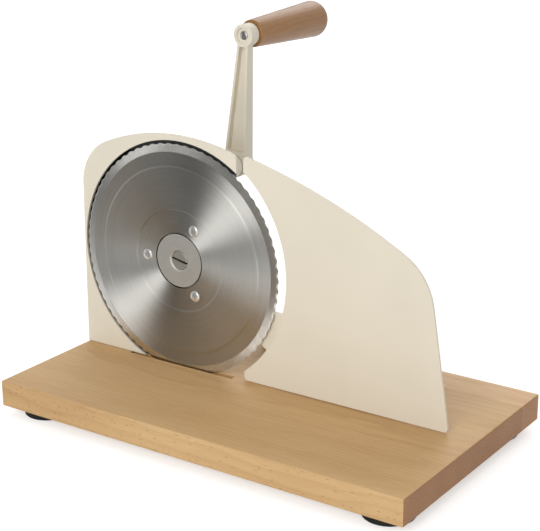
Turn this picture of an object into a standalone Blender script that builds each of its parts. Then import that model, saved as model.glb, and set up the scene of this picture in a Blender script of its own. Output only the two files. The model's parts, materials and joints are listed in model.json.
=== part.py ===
"""Hand-cranked slicer on a beech board, built piece by piece at its real size.

Metres, +Z up. X runs along the board, -Y is the side that food is cut on. The origin lies under the
middle of the whole machine, at the height of the table. The machine is laid out from one point: the
middle of the board's top, in the front plane of the wall, where x, y and z are all zero.
"""

import math

import bmesh
import bpy
from mathutils import Matrix, Vector

# clearances shared by the whole machine
SEAT_GAP = 0.0003
RUN_GAP = 0.0003
CUT_OVERRUN = 0.002
MERGE_DISTANCE = 0.000001
SMOOTH_ANGLE = math.radians(35)

# colours are written from 0 to 255 as a screen shows them
COLOUR_FULL = 255
SCREEN_GAMMA = 2.2

# facets on round pieces
FINE_SIDES = 40
ROUND_SIDES = 24
SMALL_SIDES = 12
QUARTER_STEP_COUNT = 4
ARC_TOLERANCE = 0.00005

# base board
BOARD_LENGTH = 0.368
BOARD_DEPTH = 0.212
BOARD_THICKNESS = 0.0215
BOARD_EDGE_RADIUS = 0.0012
SLOT_LENGTH = 0.104
SLOT_FRONT = 0.002
SLOT_WIDTH = 0.0055
SLOT_SIDE_SHIFT = -0.0015
SLOT_BLADE_CLEARANCE = 0.0026

# feet and their screws
FOOT_RADIUS = 0.0197
FOOT_HEIGHT = 0.008
FOOT_INSET = 0.026
FOOT_DRAFT = 0.0012
FOOT_EDGE = 0.001
FOOT_RECESS_RADIUS = 0.0065
FOOT_RECESS_DEPTH = 0.0045
WOOD_SCREW_RADIUS = 0.002
WOOD_SCREW_HEAD_RADIUS = 0.0043
WOOD_SCREW_HEAD_HEIGHT = 0.0025
WOOD_SCREW_BITE = 0.013
SCREW_TOP_SHARE = 0.7
DRIVER_SLOT_WIDTH = 0.0012
DRIVER_SLOT_DEPTH = 0.001

# blade
BLADE_RADIUS = 0.0952
BLADE_HEIGHT = 0.0898
BLADE_WAVES = 72
WAVE_STEP_COUNT = 2
WAVE_DEPTH = 0.0009
EDGE_LAND = 0.0003
BEVEL_WIDTH = 0.0069
BEVEL_RISE = 0.0006
RIM_WIDTH = 0.0108
RIM_CONE = 0.0001
STEP_RUN = 0.0014
STEP_RISE = 0.0009
DISH_CONE = 0.0002
BLADE_CENTRE_RADIUS = 0.0415
CENTRE_RUN = 0.0012
CENTRE_SINK = 0.0006
BLADE_THICKNESS = 0.0018

# what turns with the blade
HUB_RADIUS = 0.0222
HUB_GROOVE = 0.0006
COUNTERSINK_RADIUS = 0.009
BLADE_SCREW_HEAD_RADIUS = 0.0076
BLADE_SCREW_RADIUS = 0.003
BLADE_SCREW_REACH = 0.016
BLADE_SCREW_SINK = 0.0006
BLADE_SLOT_WIDTH = 0.0016
BLADE_SLOT_DEPTH = 0.0008
BLADE_SLOT_TILT = math.radians(12)
RIVET_CIRCLE = 0.0313
RIVET_COUNT = 3
RIVET_HEAD_RADIUS = 0.0045
RIVET_HEAD_HEIGHT = 0.0013
RIVET_SHANK_RADIUS = 0.0022
RIVET_TAIL_RADIUS = 0.0031
RIVET_TAIL_HEIGHT = 0.001
SPINDLE_RADIUS = 0.008
SPINDLE_CLIP_RADIUS = 0.0115
SPINDLE_CLIP_THICKNESS = 0.0015

# gear pair that drives the blade
GEAR_MODULE = 0.002
PRESSURE_ANGLE = math.radians(20)
BLADE_GEAR_TEETH = 42
PINION_TEETH = 20
GEAR_WIDTH = 0.008
TOOTH_BACKLASH = 0.0005
ROOT_CLEARANCE_SHARE = 0.25
FLANK_STEP_COUNT = 3
GEAR_WEB_THICKNESS = 0.002
GEAR_WEB_RADIUS = 0.036
GEAR_RIM_WALL = 0.005
GEAR_FRONT_CLEARANCE = 0.0037

# wall plate beside the blade
WALL_THICKNESS = 0.0025
WALL_GAP = 0.0023
WALL_BAND = 0.007
WALL_SIDE_BAND = 0.003
WALL_TOP_RADIUS = 0.189
WALL_CORNER_RADIUS = 0.042
WALL_LEFT_LEAN = 0.0018
WALL_TIP_REACH = 0.0565
WALL_TIP_RADIUS = 0.004
STUD_RADIUS = 0.0025
NUT_RADIUS = 0.0046
NUT_THICKNESS = 0.003
NUT_SIDES = 6
LOWER_STUD_INSET = 0.019
LOWER_STUD_HEIGHT = 0.018
UPPER_STUD_INSET = 0.021
UPPER_STUD_DROP = 0.034

# housing behind the wall
HOUSING_WALL = 0.003
HOUSING_DEPTH = 0.0155
HOUSING_LEFT_INSET = 0.0025
HOUSING_CORNER_RADIUS = 0.042
HOUSING_CORNER_DROP = 0.0158
HOUSING_FOOT_RADIUS = 0.004
HOUSING_FOOT_RIGHT = 0.0265
HOUSING_GEAR_CLEARANCE = 0.0024
HOUSING_BOSS_RADIUS = 0.0062
BLADE_BOSS_LENGTH = 0.026
BUSH_WALL = 0.0022
BOSS_WALL = 0.0032
BUSH_FLANGE_THICKNESS = 0.0012
BUSH_LENGTH = 0.012
CRANK_TUBE_LENGTH = 0.0553
CRANK_TUBE_BASE_RADIUS = 0.0132
CRANK_TUBE_END_RADIUS = 0.01
TUBE_SPIGOT_WALL = 0.0018
TUBE_FLANGE_RADIUS = 0.0205
TUBE_FLANGE_THICKNESS = 0.003
TUBE_SCREW_CIRCLE = 0.0168
TUBE_SCREW_COUNT = 3
TUBE_SCREW_RADIUS = 0.0015
TUBE_SCREW_HEAD_RADIUS = 0.0027
TUBE_SCREW_HEAD_HEIGHT = 0.0017
HOUSING_SCREW_SHARES = (0.13, 0.46, 0.82)
FLANGE_THICKNESS = 0.0018
FLANGE_INSET = 0.003
FLANGE_SHOULDER_RISE = 0.058

# crank
CRANK_SHAFT_RADIUS = 0.0055
SHAFT_HEAD_RADIUS = 0.0085
SHAFT_HEAD_THICKNESS = 0.001
ARM_LENGTH = 0.1082
ARM_LEAN = math.radians(5.7)
ARM_HUB_RADIUS = 0.0105
ARM_NECK_RADIUS = 0.0046
ARM_HUB_DEPTH = 0.0118
ARM_TIP_DEPTH = 0.0075
ARM_FLANGE = 0.0021
ARM_RECESS_DEPTH = 0.0048
ARM_RECESS_HUB_WALL = 0.0008
ARM_RECESS_BOSS_WALL = 0.0003
ARM_SKIRT_WALL = 0.0005
ARM_RECESS_CORNER = 0.001
ARM_BOSS_RADIUS = 0.0091
ARM_BOSS_DEPTH = 0.0096
ARM_BOSS_RISE = 0.0003
ARM_BOSS_LIP = 0.0027
ARM_BOSS_SINK = 0.0013
CRANK_THREAD_RADIUS = 0.004
CRANK_NUT_RADIUS = 0.008
CRANK_NUT_THICKNESS = 0.006
CRANK_NUT_DOME = 0.003

# handle grip
GRIP_LENGTH = 0.0968
GRIP_NEAR_RADIUS = 0.0112
GRIP_FAR_RADIUS = 0.0153
GRIP_CHAMFER = 0.0014
GRIP_END_ROUND = 0.009
GRIP_END_STEP_COUNT = 5
GRIP_BOLT_RADIUS = 0.003
GRIP_BOLT_HEAD_RADIUS = 0.0055
GRIP_BOLT_HEAD_THICKNESS = 0.004
GRIP_BOLT_TIP_RADIUS = 0.0036
GRIP_BOLT_TIP_HEIGHT = 0.0009
GRIP_PLUG_DEPTH = 0.005
GRIP_WASHER_RADIUS = 0.0078
GRIP_WASHER_THICKNESS = 0.001

# stop plate that sets the slice
PLATE_THICKNESS = 0.002
PLATE_SETBACK = 0.0005
PLATE_LIFT = 0.0008
PLATE_HEIGHT = 0.1837
PLATE_WIDTH = 0.1823
PLATE_TIP_GAP = 0.0063
PLATE_TOE_SHIFT = 0.0013
SLICE_GAP = 0.0086
PLATE_HOLLOW_SHIFT = -0.0021
PLATE_HOLLOW_RISE = 0.0007
PLATE_TOE_HEIGHT = 0.0091
PLATE_CORNER_SHARES = (0.8958, 0.6445)
PLATE_SHOULDER_SHARES = (0.4498, 0.883)
PLATE_CORNER_RADIUS = 0.05
PLATE_SHOULDER_RADIUS = 0.5
PLATE_SMALL_RADIUS = 0.003
PLATE_TRAVEL = 0.015

# carriage behind the stop plate
BRACKET_THICKNESS = 0.0055
BRACKET_RADIUS = 0.0095
BRACKET_LEG_HEIGHT = 0.095
BRACKET_LEG_RADIUS = 0.011
SPINDLE_HEIGHT = 0.0195
ADJUSTER_REACH = 0.1285
ROD_SPACING = 0.03
ROD_RADIUS = 0.004
LEAD_NUT_RADIUS = 0.0078
LEAD_NUT_LENGTH = 0.04
LEAD_SCREW_RADIUS = 0.0048
LEAD_SCREW_CLEARANCE = 0.001
STOP_STUD_SPREAD = 0.015
STOP_STUD_SHARES = (0.474, 0.895)

# guide block and knob
BLOCK_DEPTH = 0.0197
BLOCK_HEIGHT = 0.0345
BLOCK_TOP_FALL = 0.0088
BLOCK_LEFT_REACH = 0.0987
BLOCK_RIGHT_REACH = 0.05
BLOCK_BACK_CLEARANCE = 0.0012
BLOCK_EDGE = 0.0015
BLOCK_SCREW_SHARES = (0.2, 0.766)
BLOCK_SCREW_HEAD_SINK = 0.004
COLLAR_RADIUS = 0.0075
COLLAR_THICKNESS = 0.0022
KNOB_RADIUS = 0.018
KNOB_LENGTH = 0.018
KNOB_FLUTES = 12
KNOB_FLUTE_STEP_COUNT = 4
KNOB_FLUTE_SINK = 0.0014
KNOB_EDGE = 0.0012
KNOB_SCREW_HEAD_RADIUS = 0.004
KNOB_SCREW_HEAD_HEIGHT = 0.0022
KNOB_SCREW_REACH = 0.012
KNOB_SCREW_RADIUS = 0.0018
KNOB_RECESS_DEPTH = 0.003

# heights, depths and radii that follow from the sizes above
BOARD_BOTTOM = FOOT_HEIGHT + SEAT_GAP
BOARD_TOP = BOARD_BOTTOM + BOARD_THICKNESS
CRANK_HEIGHT = BLADE_HEIGHT + GEAR_MODULE * (BLADE_GEAR_TEETH + PINION_TEETH) / 2
GEAR_OUTER_RADIUS = GEAR_MODULE * (BLADE_GEAR_TEETH / 2 + 1)
PINION_OUTER_RADIUS = GEAR_MODULE * (PINION_TEETH / 2 + 1)

RIM_FRONT_Y = -BEVEL_RISE - RIM_CONE
STEP_FRONT_Y = RIM_FRONT_Y - STEP_RISE
DISH_FRONT_Y = STEP_FRONT_Y - DISH_CONE
CENTRE_FRONT_Y = DISH_FRONT_Y + CENTRE_SINK
CENTRE_BACK_Y = CENTRE_FRONT_Y + BLADE_THICKNESS
DISH_BACK_Y = DISH_FRONT_Y + BLADE_THICKNESS
GEAR_FRONT_Y = DISH_BACK_Y + GEAR_FRONT_CLEARANCE
GEAR_BACK_Y = GEAR_FRONT_Y + GEAR_WIDTH
GEAR_WEB_BACK_Y = GEAR_FRONT_Y + GEAR_WEB_THICKNESS
SPINDLE_FRONT_Y = CENTRE_BACK_Y + SEAT_GAP

OPENING_RADIUS = BLADE_RADIUS + WALL_GAP
WALL_LEFT_X = -BOARD_LENGTH / 2
BLADE_X = WALL_LEFT_X + WALL_SIDE_BAND + OPENING_RADIUS
WALL_TIP_X = BLADE_X + WALL_TIP_REACH
ADJUSTER_X = BLADE_X + ADJUSTER_REACH
WALL_TOP_Z = BLADE_HEIGHT + BLADE_RADIUS + WALL_BAND
HOUSING_FRONT_Y = WALL_THICKNESS + SEAT_GAP
HOUSING_BACK_Y = HOUSING_FRONT_Y + HOUSING_DEPTH
HOUSING_LEFT_X = WALL_LEFT_X + HOUSING_LEFT_INSET
HOUSING_RIGHT_X = BLADE_X + HOUSING_FOOT_RIGHT
BOSS_FRONT_Y = GEAR_BACK_Y + RUN_GAP + BUSH_FLANGE_THICKNESS + SEAT_GAP
BLADE_BOSS_BACK_Y = HOUSING_BACK_Y + BLADE_BOSS_LENGTH
CRANK_TUBE_BACK_Y = HOUSING_BACK_Y + CRANK_TUBE_LENGTH
WALL_STUD_BACK_Y = HOUSING_BACK_Y + SEAT_GAP + NUT_THICKNESS + STUD_RADIUS / 2
WALL_STUDS = (
    (WALL_LEFT_X + LOWER_STUD_INSET, LOWER_STUD_HEIGHT),
    (WALL_LEFT_X + UPPER_STUD_INSET, WALL_TOP_Z - UPPER_STUD_DROP),
)

ARM_FRONT_Y = CRANK_TUBE_BACK_Y + SEAT_GAP + BUSH_FLANGE_THICKNESS + RUN_GAP
GRIP_FRONT_Y = ARM_BOSS_DEPTH + SEAT_GAP + GRIP_WASHER_THICKNESS + RUN_GAP
GRIP_BORE_RADIUS = GRIP_BOLT_RADIUS + RUN_GAP
GRIP_PLUG_RADIUS = GRIP_BOLT_HEAD_RADIUS
GRIP_POCKET_RADIUS = GRIP_PLUG_RADIUS + SEAT_GAP
GRIP_HEAD_Y = GRIP_LENGTH - GRIP_PLUG_DEPTH - SEAT_GAP - GRIP_BOLT_HEAD_THICKNESS
MACHINE_BACK_Y = ARM_FRONT_Y + GRIP_FRONT_Y + GRIP_LENGTH
MACHINE_Y = (BOARD_DEPTH / 2 - MACHINE_BACK_Y) / 2

PLATE_TOP_LEFT_X = WALL_TIP_X + PLATE_TIP_GAP
PLATE_LEFT_X = PLATE_TOP_LEFT_X - PLATE_TOE_SHIFT
HOLLOW_RADIUS = BLADE_RADIUS + SLICE_GAP
PLATE_BACK_Y = PLATE_SETBACK + PLATE_THICKNESS
BRACKET_FRONT_Y = PLATE_BACK_Y + SEAT_GAP
BRACKET_BACK_Y = BRACKET_FRONT_Y + BRACKET_THICKNESS
STOP_STUD_BACK_Y = BRACKET_BACK_Y + SEAT_GAP + NUT_THICKNESS + STUD_RADIUS / 2
STOP_STUDS = (
    (ADJUSTER_X - STOP_STUD_SPREAD, SPINDLE_HEIGHT),
    (ADJUSTER_X + STOP_STUD_SPREAD, SPINDLE_HEIGHT),
    (ADJUSTER_X, SPINDLE_HEIGHT + BRACKET_LEG_HEIGHT * STOP_STUD_SHARES[0]),
    (ADJUSTER_X, SPINDLE_HEIGHT + BRACKET_LEG_HEIGHT * STOP_STUD_SHARES[1]),
)
ROD_PLACES = (ADJUSTER_X - ROD_SPACING, ADJUSTER_X + ROD_SPACING)

BLOCK_BACK_Y = ARM_FRONT_Y + GRIP_FRONT_Y - BLOCK_BACK_CLEARANCE
BLOCK_FRONT_Y = BLOCK_BACK_Y - BLOCK_DEPTH
BLOCK_MIDDLE_Y = (BLOCK_FRONT_Y + BLOCK_BACK_Y) / 2
BLOCK_LEFT_X = ADJUSTER_X - BLOCK_LEFT_REACH
BLOCK_RIGHT_X = ADJUSTER_X + BLOCK_RIGHT_REACH
BLOCK_LENGTH = BLOCK_RIGHT_X - BLOCK_LEFT_X
KNOB_FRONT_Y = BLOCK_BACK_Y + RUN_GAP
LEAD_SCREW_FRONT_Y = PLATE_BACK_Y + PLATE_TRAVEL + LEAD_SCREW_CLEARANCE
LEAD_SCREW_BACK_Y = KNOB_FRONT_Y + KNOB_LENGTH - KNOB_RECESS_DEPTH - 2 * SEAT_GAP
PILOT_RADIUS = WOOD_SCREW_RADIUS + SEAT_GAP


def clear_objects():
    for item in list(bpy.data.objects):
        bpy.data.objects.remove(item, do_unlink=True)


def finish(name, colour, roughness, metallic=0.0):
    """A Principled material from a colour as a screen shows it."""
    material = bpy.data.materials.new(name)
    material.use_nodes = True
    shader = material.node_tree.nodes["Principled BSDF"]
    linear = [(value / COLOUR_FULL) ** SCREEN_GAMMA for value in colour]
    shader.inputs["Base Color"].default_value = (*linear, 1)
    shader.inputs["Roughness"].default_value = roughness
    shader.inputs["Metallic"].default_value = metallic
    return material


def make_finishes():
    return {
        "beech_board": finish("beech_board", (196, 160, 112), 0.5),
        "beech_grip": finish("beech_grip", (182, 128, 82), 0.42),
        "cream_coat": finish("cream_coat", (224, 215, 195), 0.45),
        "dark_plastic": finish("dark_plastic", (44, 44, 46), 0.55),
        "blade_steel": finish("blade_steel", (176, 174, 168), 0.28, 1),
        "bright_steel": finish("bright_steel", (190, 190, 190), 0.25, 1),
        "zinc_steel": finish("zinc_steel", (168, 170, 174), 0.38, 1),
        "bronze": finish("bronze", (176, 132, 78), 0.35, 1),
        "black_rubber": finish("black_rubber", (24, 24, 25), 0.8),
        "gear_plastic": finish("gear_plastic", (214, 208, 190), 0.5),
    }


def frame(name, parent, place, turn=(0, 0, 0)):
    """An empty that carries pieces, such as the one on a joint's axis."""
    holder = bpy.data.objects.new(name, None)
    bpy.context.collection.objects.link(holder)
    holder.parent = parent
    holder.location = place
    holder.rotation_euler = turn
    return holder


def add_object(name, shape, parent, place=(0, 0, 0), turn=(0, 0, 0)):
    mesh = bpy.data.meshes.new(name)
    shape.to_mesh(mesh)
    shape.free()
    item = bpy.data.objects.new(name, mesh)
    bpy.context.collection.objects.link(item)
    item.parent = parent
    item.location = place
    item.rotation_euler = turn
    return item


def piece(name, shape, material, parent, place=(0, 0, 0), turn=(0, 0, 0)):
    item = add_object(name, shape, parent, place, turn)
    item.data.materials.append(material)
    item.data.shade_smooth()
    item.data.set_sharp_from_angle(angle=SMOOTH_ANGLE)
    return item


def combine(target, shape, operation, place=(0, 0, 0), turn=(0, 0, 0)):
    """Adds or cuts a shape that is laid out in the target's own frame."""
    helper = add_object(target.name + "_helper", shape, target, place, turn)
    helper.display_type = "WIRE"
    helper.hide_render = True
    step = target.modifiers.new(operation.lower(), "BOOLEAN")
    step.operation = operation
    step.solver = "EXACT"
    step.object = helper
    return step


def cut(target, shape, place=(0, 0, 0), turn=(0, 0, 0)):
    return combine(target, shape, "DIFFERENCE", place, turn)


def join(target, shape, place=(0, 0, 0), turn=(0, 0, 0)):
    return combine(target, shape, "UNION", place, turn)


def round_edges(target, width, segments=2):
    step = target.modifiers.new("edges", "BEVEL")
    step.width = width
    step.segments = segments
    step.limit_method = "ANGLE"
    step.angle_limit = SMOOTH_ANGLE
    return step


def ring(shape, radius, y, count):
    """A ring of points round the Y axis; the radius may follow the angle."""
    points = []
    for i in range(count):
        turn = math.tau * i / count
        size = radius(turn) if callable(radius) else radius
        points.append(shape.verts.new((size * math.cos(turn), y, size * math.sin(turn))))
    return points


def turned(profile, sides, closed=False):
    """A profile of (radius, y) points turned round the Y axis; a flat end is one face."""
    shape = bmesh.new()
    points = list(profile)
    flat_ends = []
    for end, inner in ((0, 1), (-1, -2)):
        if not closed and points[end][1] == points[inner][1]:
            flat_ends.append(end)
    for end in flat_ends:
        points.pop(end)
    rings = []
    for radius, y in points:
        if radius > MERGE_DISTANCE:
            rings.append(ring(shape, radius, y, sides))
        else:
            rings.append([shape.verts.new((0, y, 0))] * sides)
    pairs = list(zip(rings, rings[1:]))
    if closed:
        pairs.append((rings[-1], rings[0]))
    for first, second in pairs:
        for i in range(sides):
            j = (i + 1) % sides
            shape.faces.new(list(dict.fromkeys((first[i], first[j], second[j], second[i]))))
    for end in flat_ends:
        shape.faces.new(rings[end])
    bmesh.ops.recalc_face_normals(shape, faces=shape.faces)
    return shape


def rod(radius, front, back, sides=SMALL_SIDES):
    return turned([(0, front), (radius, front), (radius, back), (0, back)], sides)


def tube(inner, outer, front, back, sides=SMALL_SIDES):
    profile = [(inner, front), (outer, front), (outer, back), (inner, back)]
    return turned(profile, sides, closed=True)


def upright(shape):
    """Turns a shape whose axis is +Y so that its axis is +Z."""
    bmesh.ops.rotate(shape, verts=shape.verts, matrix=Matrix.Rotation(math.pi / 2, 3, "X"))
    return shape


def prism(outline, front, back):
    """An outline of (x, z) points given a depth along Y."""
    shape = bmesh.new()
    face = shape.faces.new([shape.verts.new((x, front, z)) for x, z in outline])
    drawn = bmesh.ops.extrude_face_region(shape, geom=[face])
    moved = [part for part in drawn["geom"] if isinstance(part, bmesh.types.BMVert)]
    bmesh.ops.translate(shape, verts=moved, vec=(0, back - front, 0))
    bmesh.ops.recalc_face_normals(shape, faces=shape.faces)
    return shape


def slab(outline, bottom, top):
    """A plan outline of (x, y) points given a height along Z."""
    shape = bmesh.new()
    face = shape.faces.new([shape.verts.new((x, y, bottom)) for x, y in outline])
    drawn = bmesh.ops.extrude_face_region(shape, geom=[face])
    moved = [part for part in drawn["geom"] if isinstance(part, bmesh.types.BMVert)]
    bmesh.ops.translate(shape, verts=moved, vec=(0, 0, top - bottom))
    bmesh.ops.recalc_face_normals(shape, faces=shape.faces)
    return shape


def block(low, high):
    shape = bmesh.new()
    bmesh.ops.create_cube(shape, size=1)
    size = [b - a for a, b in zip(low, high)]
    middle = [(a + b) / 2 for a, b in zip(low, high)]
    bmesh.ops.scale(shape, verts=shape.verts, vec=size)
    bmesh.ops.translate(shape, verts=shape.verts, vec=middle)
    return shape


def arc_step(radius):
    """The angle between points that keeps an arc's chords within the tolerance."""
    return 2 * math.acos(1 - ARC_TOLERANCE / radius)


def arc(centre, radius, start, end, count=None):
    count = count or max(2, math.ceil(abs(end - start) / arc_step(radius)))
    angles = [start + (end - start) * i / count for i in range(count + 1)]
    return [(centre[0] + radius * math.cos(a), centre[1] + radius * math.sin(a)) for a in angles]


def rounded_corner(before, corner, after, radius):
    """Points of the arc that rounds a corner between two straight edges."""
    point = Vector(corner)
    first = (Vector(before) - point).normalized()
    second = (Vector(after) - point).normalized()
    half = first.angle(second) / 2
    reach = min(radius / math.tan(half), (Vector(before) - point).length, (Vector(after) - point).length)
    size = reach * math.tan(half)
    middle = point + (first + second).normalized() * (size / math.sin(half))
    start = point + first * reach - middle
    sweep = start.angle_signed(point + second * reach - middle)
    count = max(1, math.ceil(abs(sweep) / arc_step(size)))
    points = []
    for i in range(count + 1):
        turn = -sweep * i / count
        x = start.x * math.cos(turn) - start.y * math.sin(turn)
        y = start.x * math.sin(turn) + start.y * math.cos(turn)
        points.append((middle.x + x, middle.y + y))
    return points


def belt(circles, sides=ROUND_SIDES):
    """The outline of a belt drawn tight round circles of (x, y, radius)."""
    points = []
    for x, y, radius in circles:
        for i in range(sides):
            turn = math.tau * i / sides
            points.append((x + radius * math.cos(turn), y + radius * math.sin(turn)))
    points = sorted(set(points))
    hull = []
    for run in (points, points[::-1]):
        base = len(hull)
        for point in run:
            while len(hull) - base >= 2 and turn_of(hull[-2], hull[-1], point) <= 0:
                hull.pop()
            hull.append(point)
        hull.pop()
    return hull


def turn_of(a, b, c):
    return (b[0] - a[0]) * (c[1] - a[1]) - (b[1] - a[1]) * (c[0] - a[0])


def screw(head_radius, head_height, shank_radius, reach):
    """A pan-head screw: its shank runs from y = 0 to +Y and its head stands on the -Y side."""
    profile = [
        (0, -head_height),
        (head_radius * SCREW_TOP_SHARE, -head_height),
        (head_radius, -head_height / 2),
        (head_radius, 0),
        (shank_radius, 0),
        (shank_radius, reach - shank_radius),
        (0, reach),
    ]
    return turned(profile, SMALL_SIDES)


def driver_slot(head_radius, head_height, width=DRIVER_SLOT_WIDTH, depth=DRIVER_SLOT_DEPTH):
    reach = head_radius + CUT_OVERRUN
    low = (-reach, -head_height - CUT_OVERRUN, -width / 2)
    return block(low, (reach, depth - head_height, width / 2))


def nut_outline(radius):
    return arc((0, 0), radius, 0, math.tau, NUT_SIDES)[:-1]


def add_nut(name, material, parent, place):
    """A six-sided nut on a stud."""
    item = piece(name, prism(nut_outline(NUT_RADIUS), 0, NUT_THICKNESS), material, parent, place)
    cut(item, rod(STUD_RADIUS + SEAT_GAP, -CUT_OVERRUN, NUT_THICKNESS + CUT_OVERRUN))


def add_board(machine, finishes):
    half_length = BOARD_LENGTH / 2
    half_depth = BOARD_DEPTH / 2
    body = block((-half_length, -half_depth, -BOARD_THICKNESS), (half_length, half_depth, 0))
    board = piece("base_board", body, finishes["beech_board"], machine)
    round_edges(board, BOARD_EDGE_RADIUS)
    slot_depth = BLADE_RADIUS - BLADE_HEIGHT + SLOT_BLADE_CLEARANCE
    slot_x = BLADE_X + SLOT_SIDE_SHIFT
    slot_low = (slot_x - SLOT_LENGTH / 2, -SLOT_FRONT, -slot_depth)
    slot_high = (slot_x + SLOT_LENGTH / 2, SLOT_WIDTH - SLOT_FRONT, CUT_OVERRUN)
    cut(board, block(slot_low, slot_high))
    pilots = bmesh.new()
    for x, y in foot_places():
        add_pilot(pilots, x, y, -BOARD_THICKNESS - CUT_OVERRUN, foot_screw_top() + PILOT_RADIUS)
    for x in housing_screw_places():
        add_pilot(pilots, x, housing_screw_y(), -housing_screw_depth() - PILOT_RADIUS, CUT_OVERRUN)
    cut(board, pilots)
    head_room = WOOD_SCREW_HEAD_RADIUS + SEAT_GAP
    sunk_hole = [
        (0, -BOARD_THICKNESS - CUT_OVERRUN),
        (head_room, -BOARD_THICKNESS - CUT_OVERRUN),
        (head_room, BLOCK_SCREW_HEAD_SINK - BOARD_THICKNESS),
        (PILOT_RADIUS, BLOCK_SCREW_HEAD_SINK - BOARD_THICKNESS),
        (PILOT_RADIUS, CUT_OVERRUN),
        (0, CUT_OVERRUN),
    ]
    for x in block_screw_places():
        cut(board, upright(turned(sunk_hole, SMALL_SIDES)), (x, BLOCK_MIDDLE_Y, 0))


def add_pilot(shape, x, y, bottom, top):
    """Adds a round upright hole to a shape that will cut all of them at once."""
    hole = upright(rod(PILOT_RADIUS, bottom, top))
    bmesh.ops.translate(hole, verts=hole.verts, vec=(x, y, 0))
    mesh = bpy.data.meshes.new("hole")
    hole.to_mesh(mesh)
    hole.free()
    shape.from_mesh(mesh)
    bpy.data.meshes.remove(mesh)


def foot_places():
    x = BOARD_LENGTH / 2 - FOOT_INSET
    y = BOARD_DEPTH / 2 - FOOT_INSET
    return [(-x, -y), (x, -y), (-x, y), (x, y)]


def foot_screw_top():
    return FOOT_RECESS_DEPTH - FOOT_HEIGHT - SEAT_GAP - BOARD_THICKNESS - SEAT_GAP + WOOD_SCREW_BITE


def housing_screw_places():
    span = HOUSING_RIGHT_X - HOUSING_LEFT_X
    return [HOUSING_LEFT_X + share * span for share in HOUSING_SCREW_SHARES]


def housing_screw_y():
    return (HOUSING_FRONT_Y + HOUSING_BACK_Y - HOUSING_WALL) / 2


def housing_screw_depth():
    return WOOD_SCREW_BITE - HOUSING_WALL - 2 * SEAT_GAP


def block_screw_places():
    return [BLOCK_LEFT_X + share * BLOCK_LENGTH for share in BLOCK_SCREW_SHARES]


def add_feet(machine, finishes):
    names = ("front_left", "front_right", "rear_left", "rear_right")
    for name, (x, y) in zip(names, foot_places()):
        top = -BOARD_THICKNESS - SEAT_GAP
        stand = frame("stand_" + name, machine, (x, y, top))
        hole = WOOD_SCREW_RADIUS + SEAT_GAP
        profile = [
            (hole, 0),
            (FOOT_RADIUS - FOOT_DRAFT, 0),
            (FOOT_RADIUS, FOOT_EDGE - FOOT_HEIGHT),
            (FOOT_RADIUS - FOOT_EDGE, -FOOT_HEIGHT),
            (FOOT_RECESS_RADIUS, -FOOT_HEIGHT),
            (FOOT_RECESS_RADIUS, FOOT_RECESS_DEPTH - FOOT_HEIGHT),
            (hole, FOOT_RECESS_DEPTH - FOOT_HEIGHT),
        ]
        foot = turned(profile, ROUND_SIDES, closed=True)
        piece("foot_" + name, upright(foot), finishes["black_rubber"], stand)
        seat = FOOT_RECESS_DEPTH - FOOT_HEIGHT - SEAT_GAP
        add_wood_screw("foot_screw_" + name, finishes, stand, (0, 0, seat), upward=True)


def add_wood_screw(name, finishes, parent, place, upward):
    shank = screw(WOOD_SCREW_HEAD_RADIUS, WOOD_SCREW_HEAD_HEIGHT, WOOD_SCREW_RADIUS, WOOD_SCREW_BITE)
    slot = driver_slot(WOOD_SCREW_HEAD_RADIUS, WOOD_SCREW_HEAD_HEIGHT)
    quarter = math.pi / 2 if upward else -math.pi / 2
    item = piece(name, shank, finishes["zinc_steel"], parent, place, (quarter, 0, 0))
    cut(item, slot)


def wall_top(x, inset=0):
    reach = WALL_TOP_RADIUS - inset
    return WALL_TOP_Z - WALL_TOP_RADIUS + math.sqrt(reach**2 - (x - BLADE_X) ** 2)


def wall_arch(start_x, inset=0):
    """The arched top from start_x to the left, and on round the upper left corner."""
    centre = (BLADE_X, WALL_TOP_Z - WALL_TOP_RADIUS)
    corner_x = WALL_LEFT_X + WALL_LEFT_LEAN + WALL_CORNER_RADIUS
    reach = WALL_TOP_RADIUS - WALL_CORNER_RADIUS
    corner_z = centre[1] + math.sqrt(reach**2 - (corner_x - BLADE_X) ** 2)
    tangent = math.atan2(corner_z - centre[1], corner_x - BLADE_X)
    start = math.atan2(wall_top(start_x, inset) - centre[1], start_x - BLADE_X)
    arch = arc(centre, WALL_TOP_RADIUS - inset, start, tangent)
    corner = arc((corner_x, corner_z), WALL_CORNER_RADIUS - inset, tangent, math.pi)
    return arch + corner[1:]


def wall_outline():
    """Left edge, foot, round blade opening, tip and arched top of the wall."""
    axle = (BLADE_X, BLADE_HEIGHT)
    foot_angle = math.pi + math.asin((BLADE_HEIGHT - SEAT_GAP) / OPENING_RADIUS)
    tip_angle = math.acos(WALL_TIP_REACH / OPENING_RADIUS)
    opening = arc(axle, OPENING_RADIUS, foot_angle, tip_angle)
    inner_x = WALL_TIP_X - 2 * WALL_TIP_RADIUS
    tip_corner = (WALL_TIP_X, wall_top(WALL_TIP_X))
    tip = rounded_corner(opening[-1], tip_corner, (inner_x, wall_top(inner_x)), WALL_TIP_RADIUS)
    return [(WALL_LEFT_X, SEAT_GAP)] + opening + tip[:-1] + wall_arch(inner_x)


def add_wall(machine, finishes):
    wall = piece("wall_plate", prism(wall_outline(), 0, WALL_THICKNESS), finishes["cream_coat"], machine)
    for place in WALL_STUDS:
        join(wall, rod(STUD_RADIUS, WALL_THICKNESS / 2, WALL_STUD_BACK_Y), (place[0], 0, place[1]))
    for name, place in zip(("wall_nut_lower", "wall_nut_upper"), WALL_STUDS):
        add_nut(name, finishes["zinc_steel"], machine, (place[0], HOUSING_BACK_Y + SEAT_GAP, place[1]))


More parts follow.
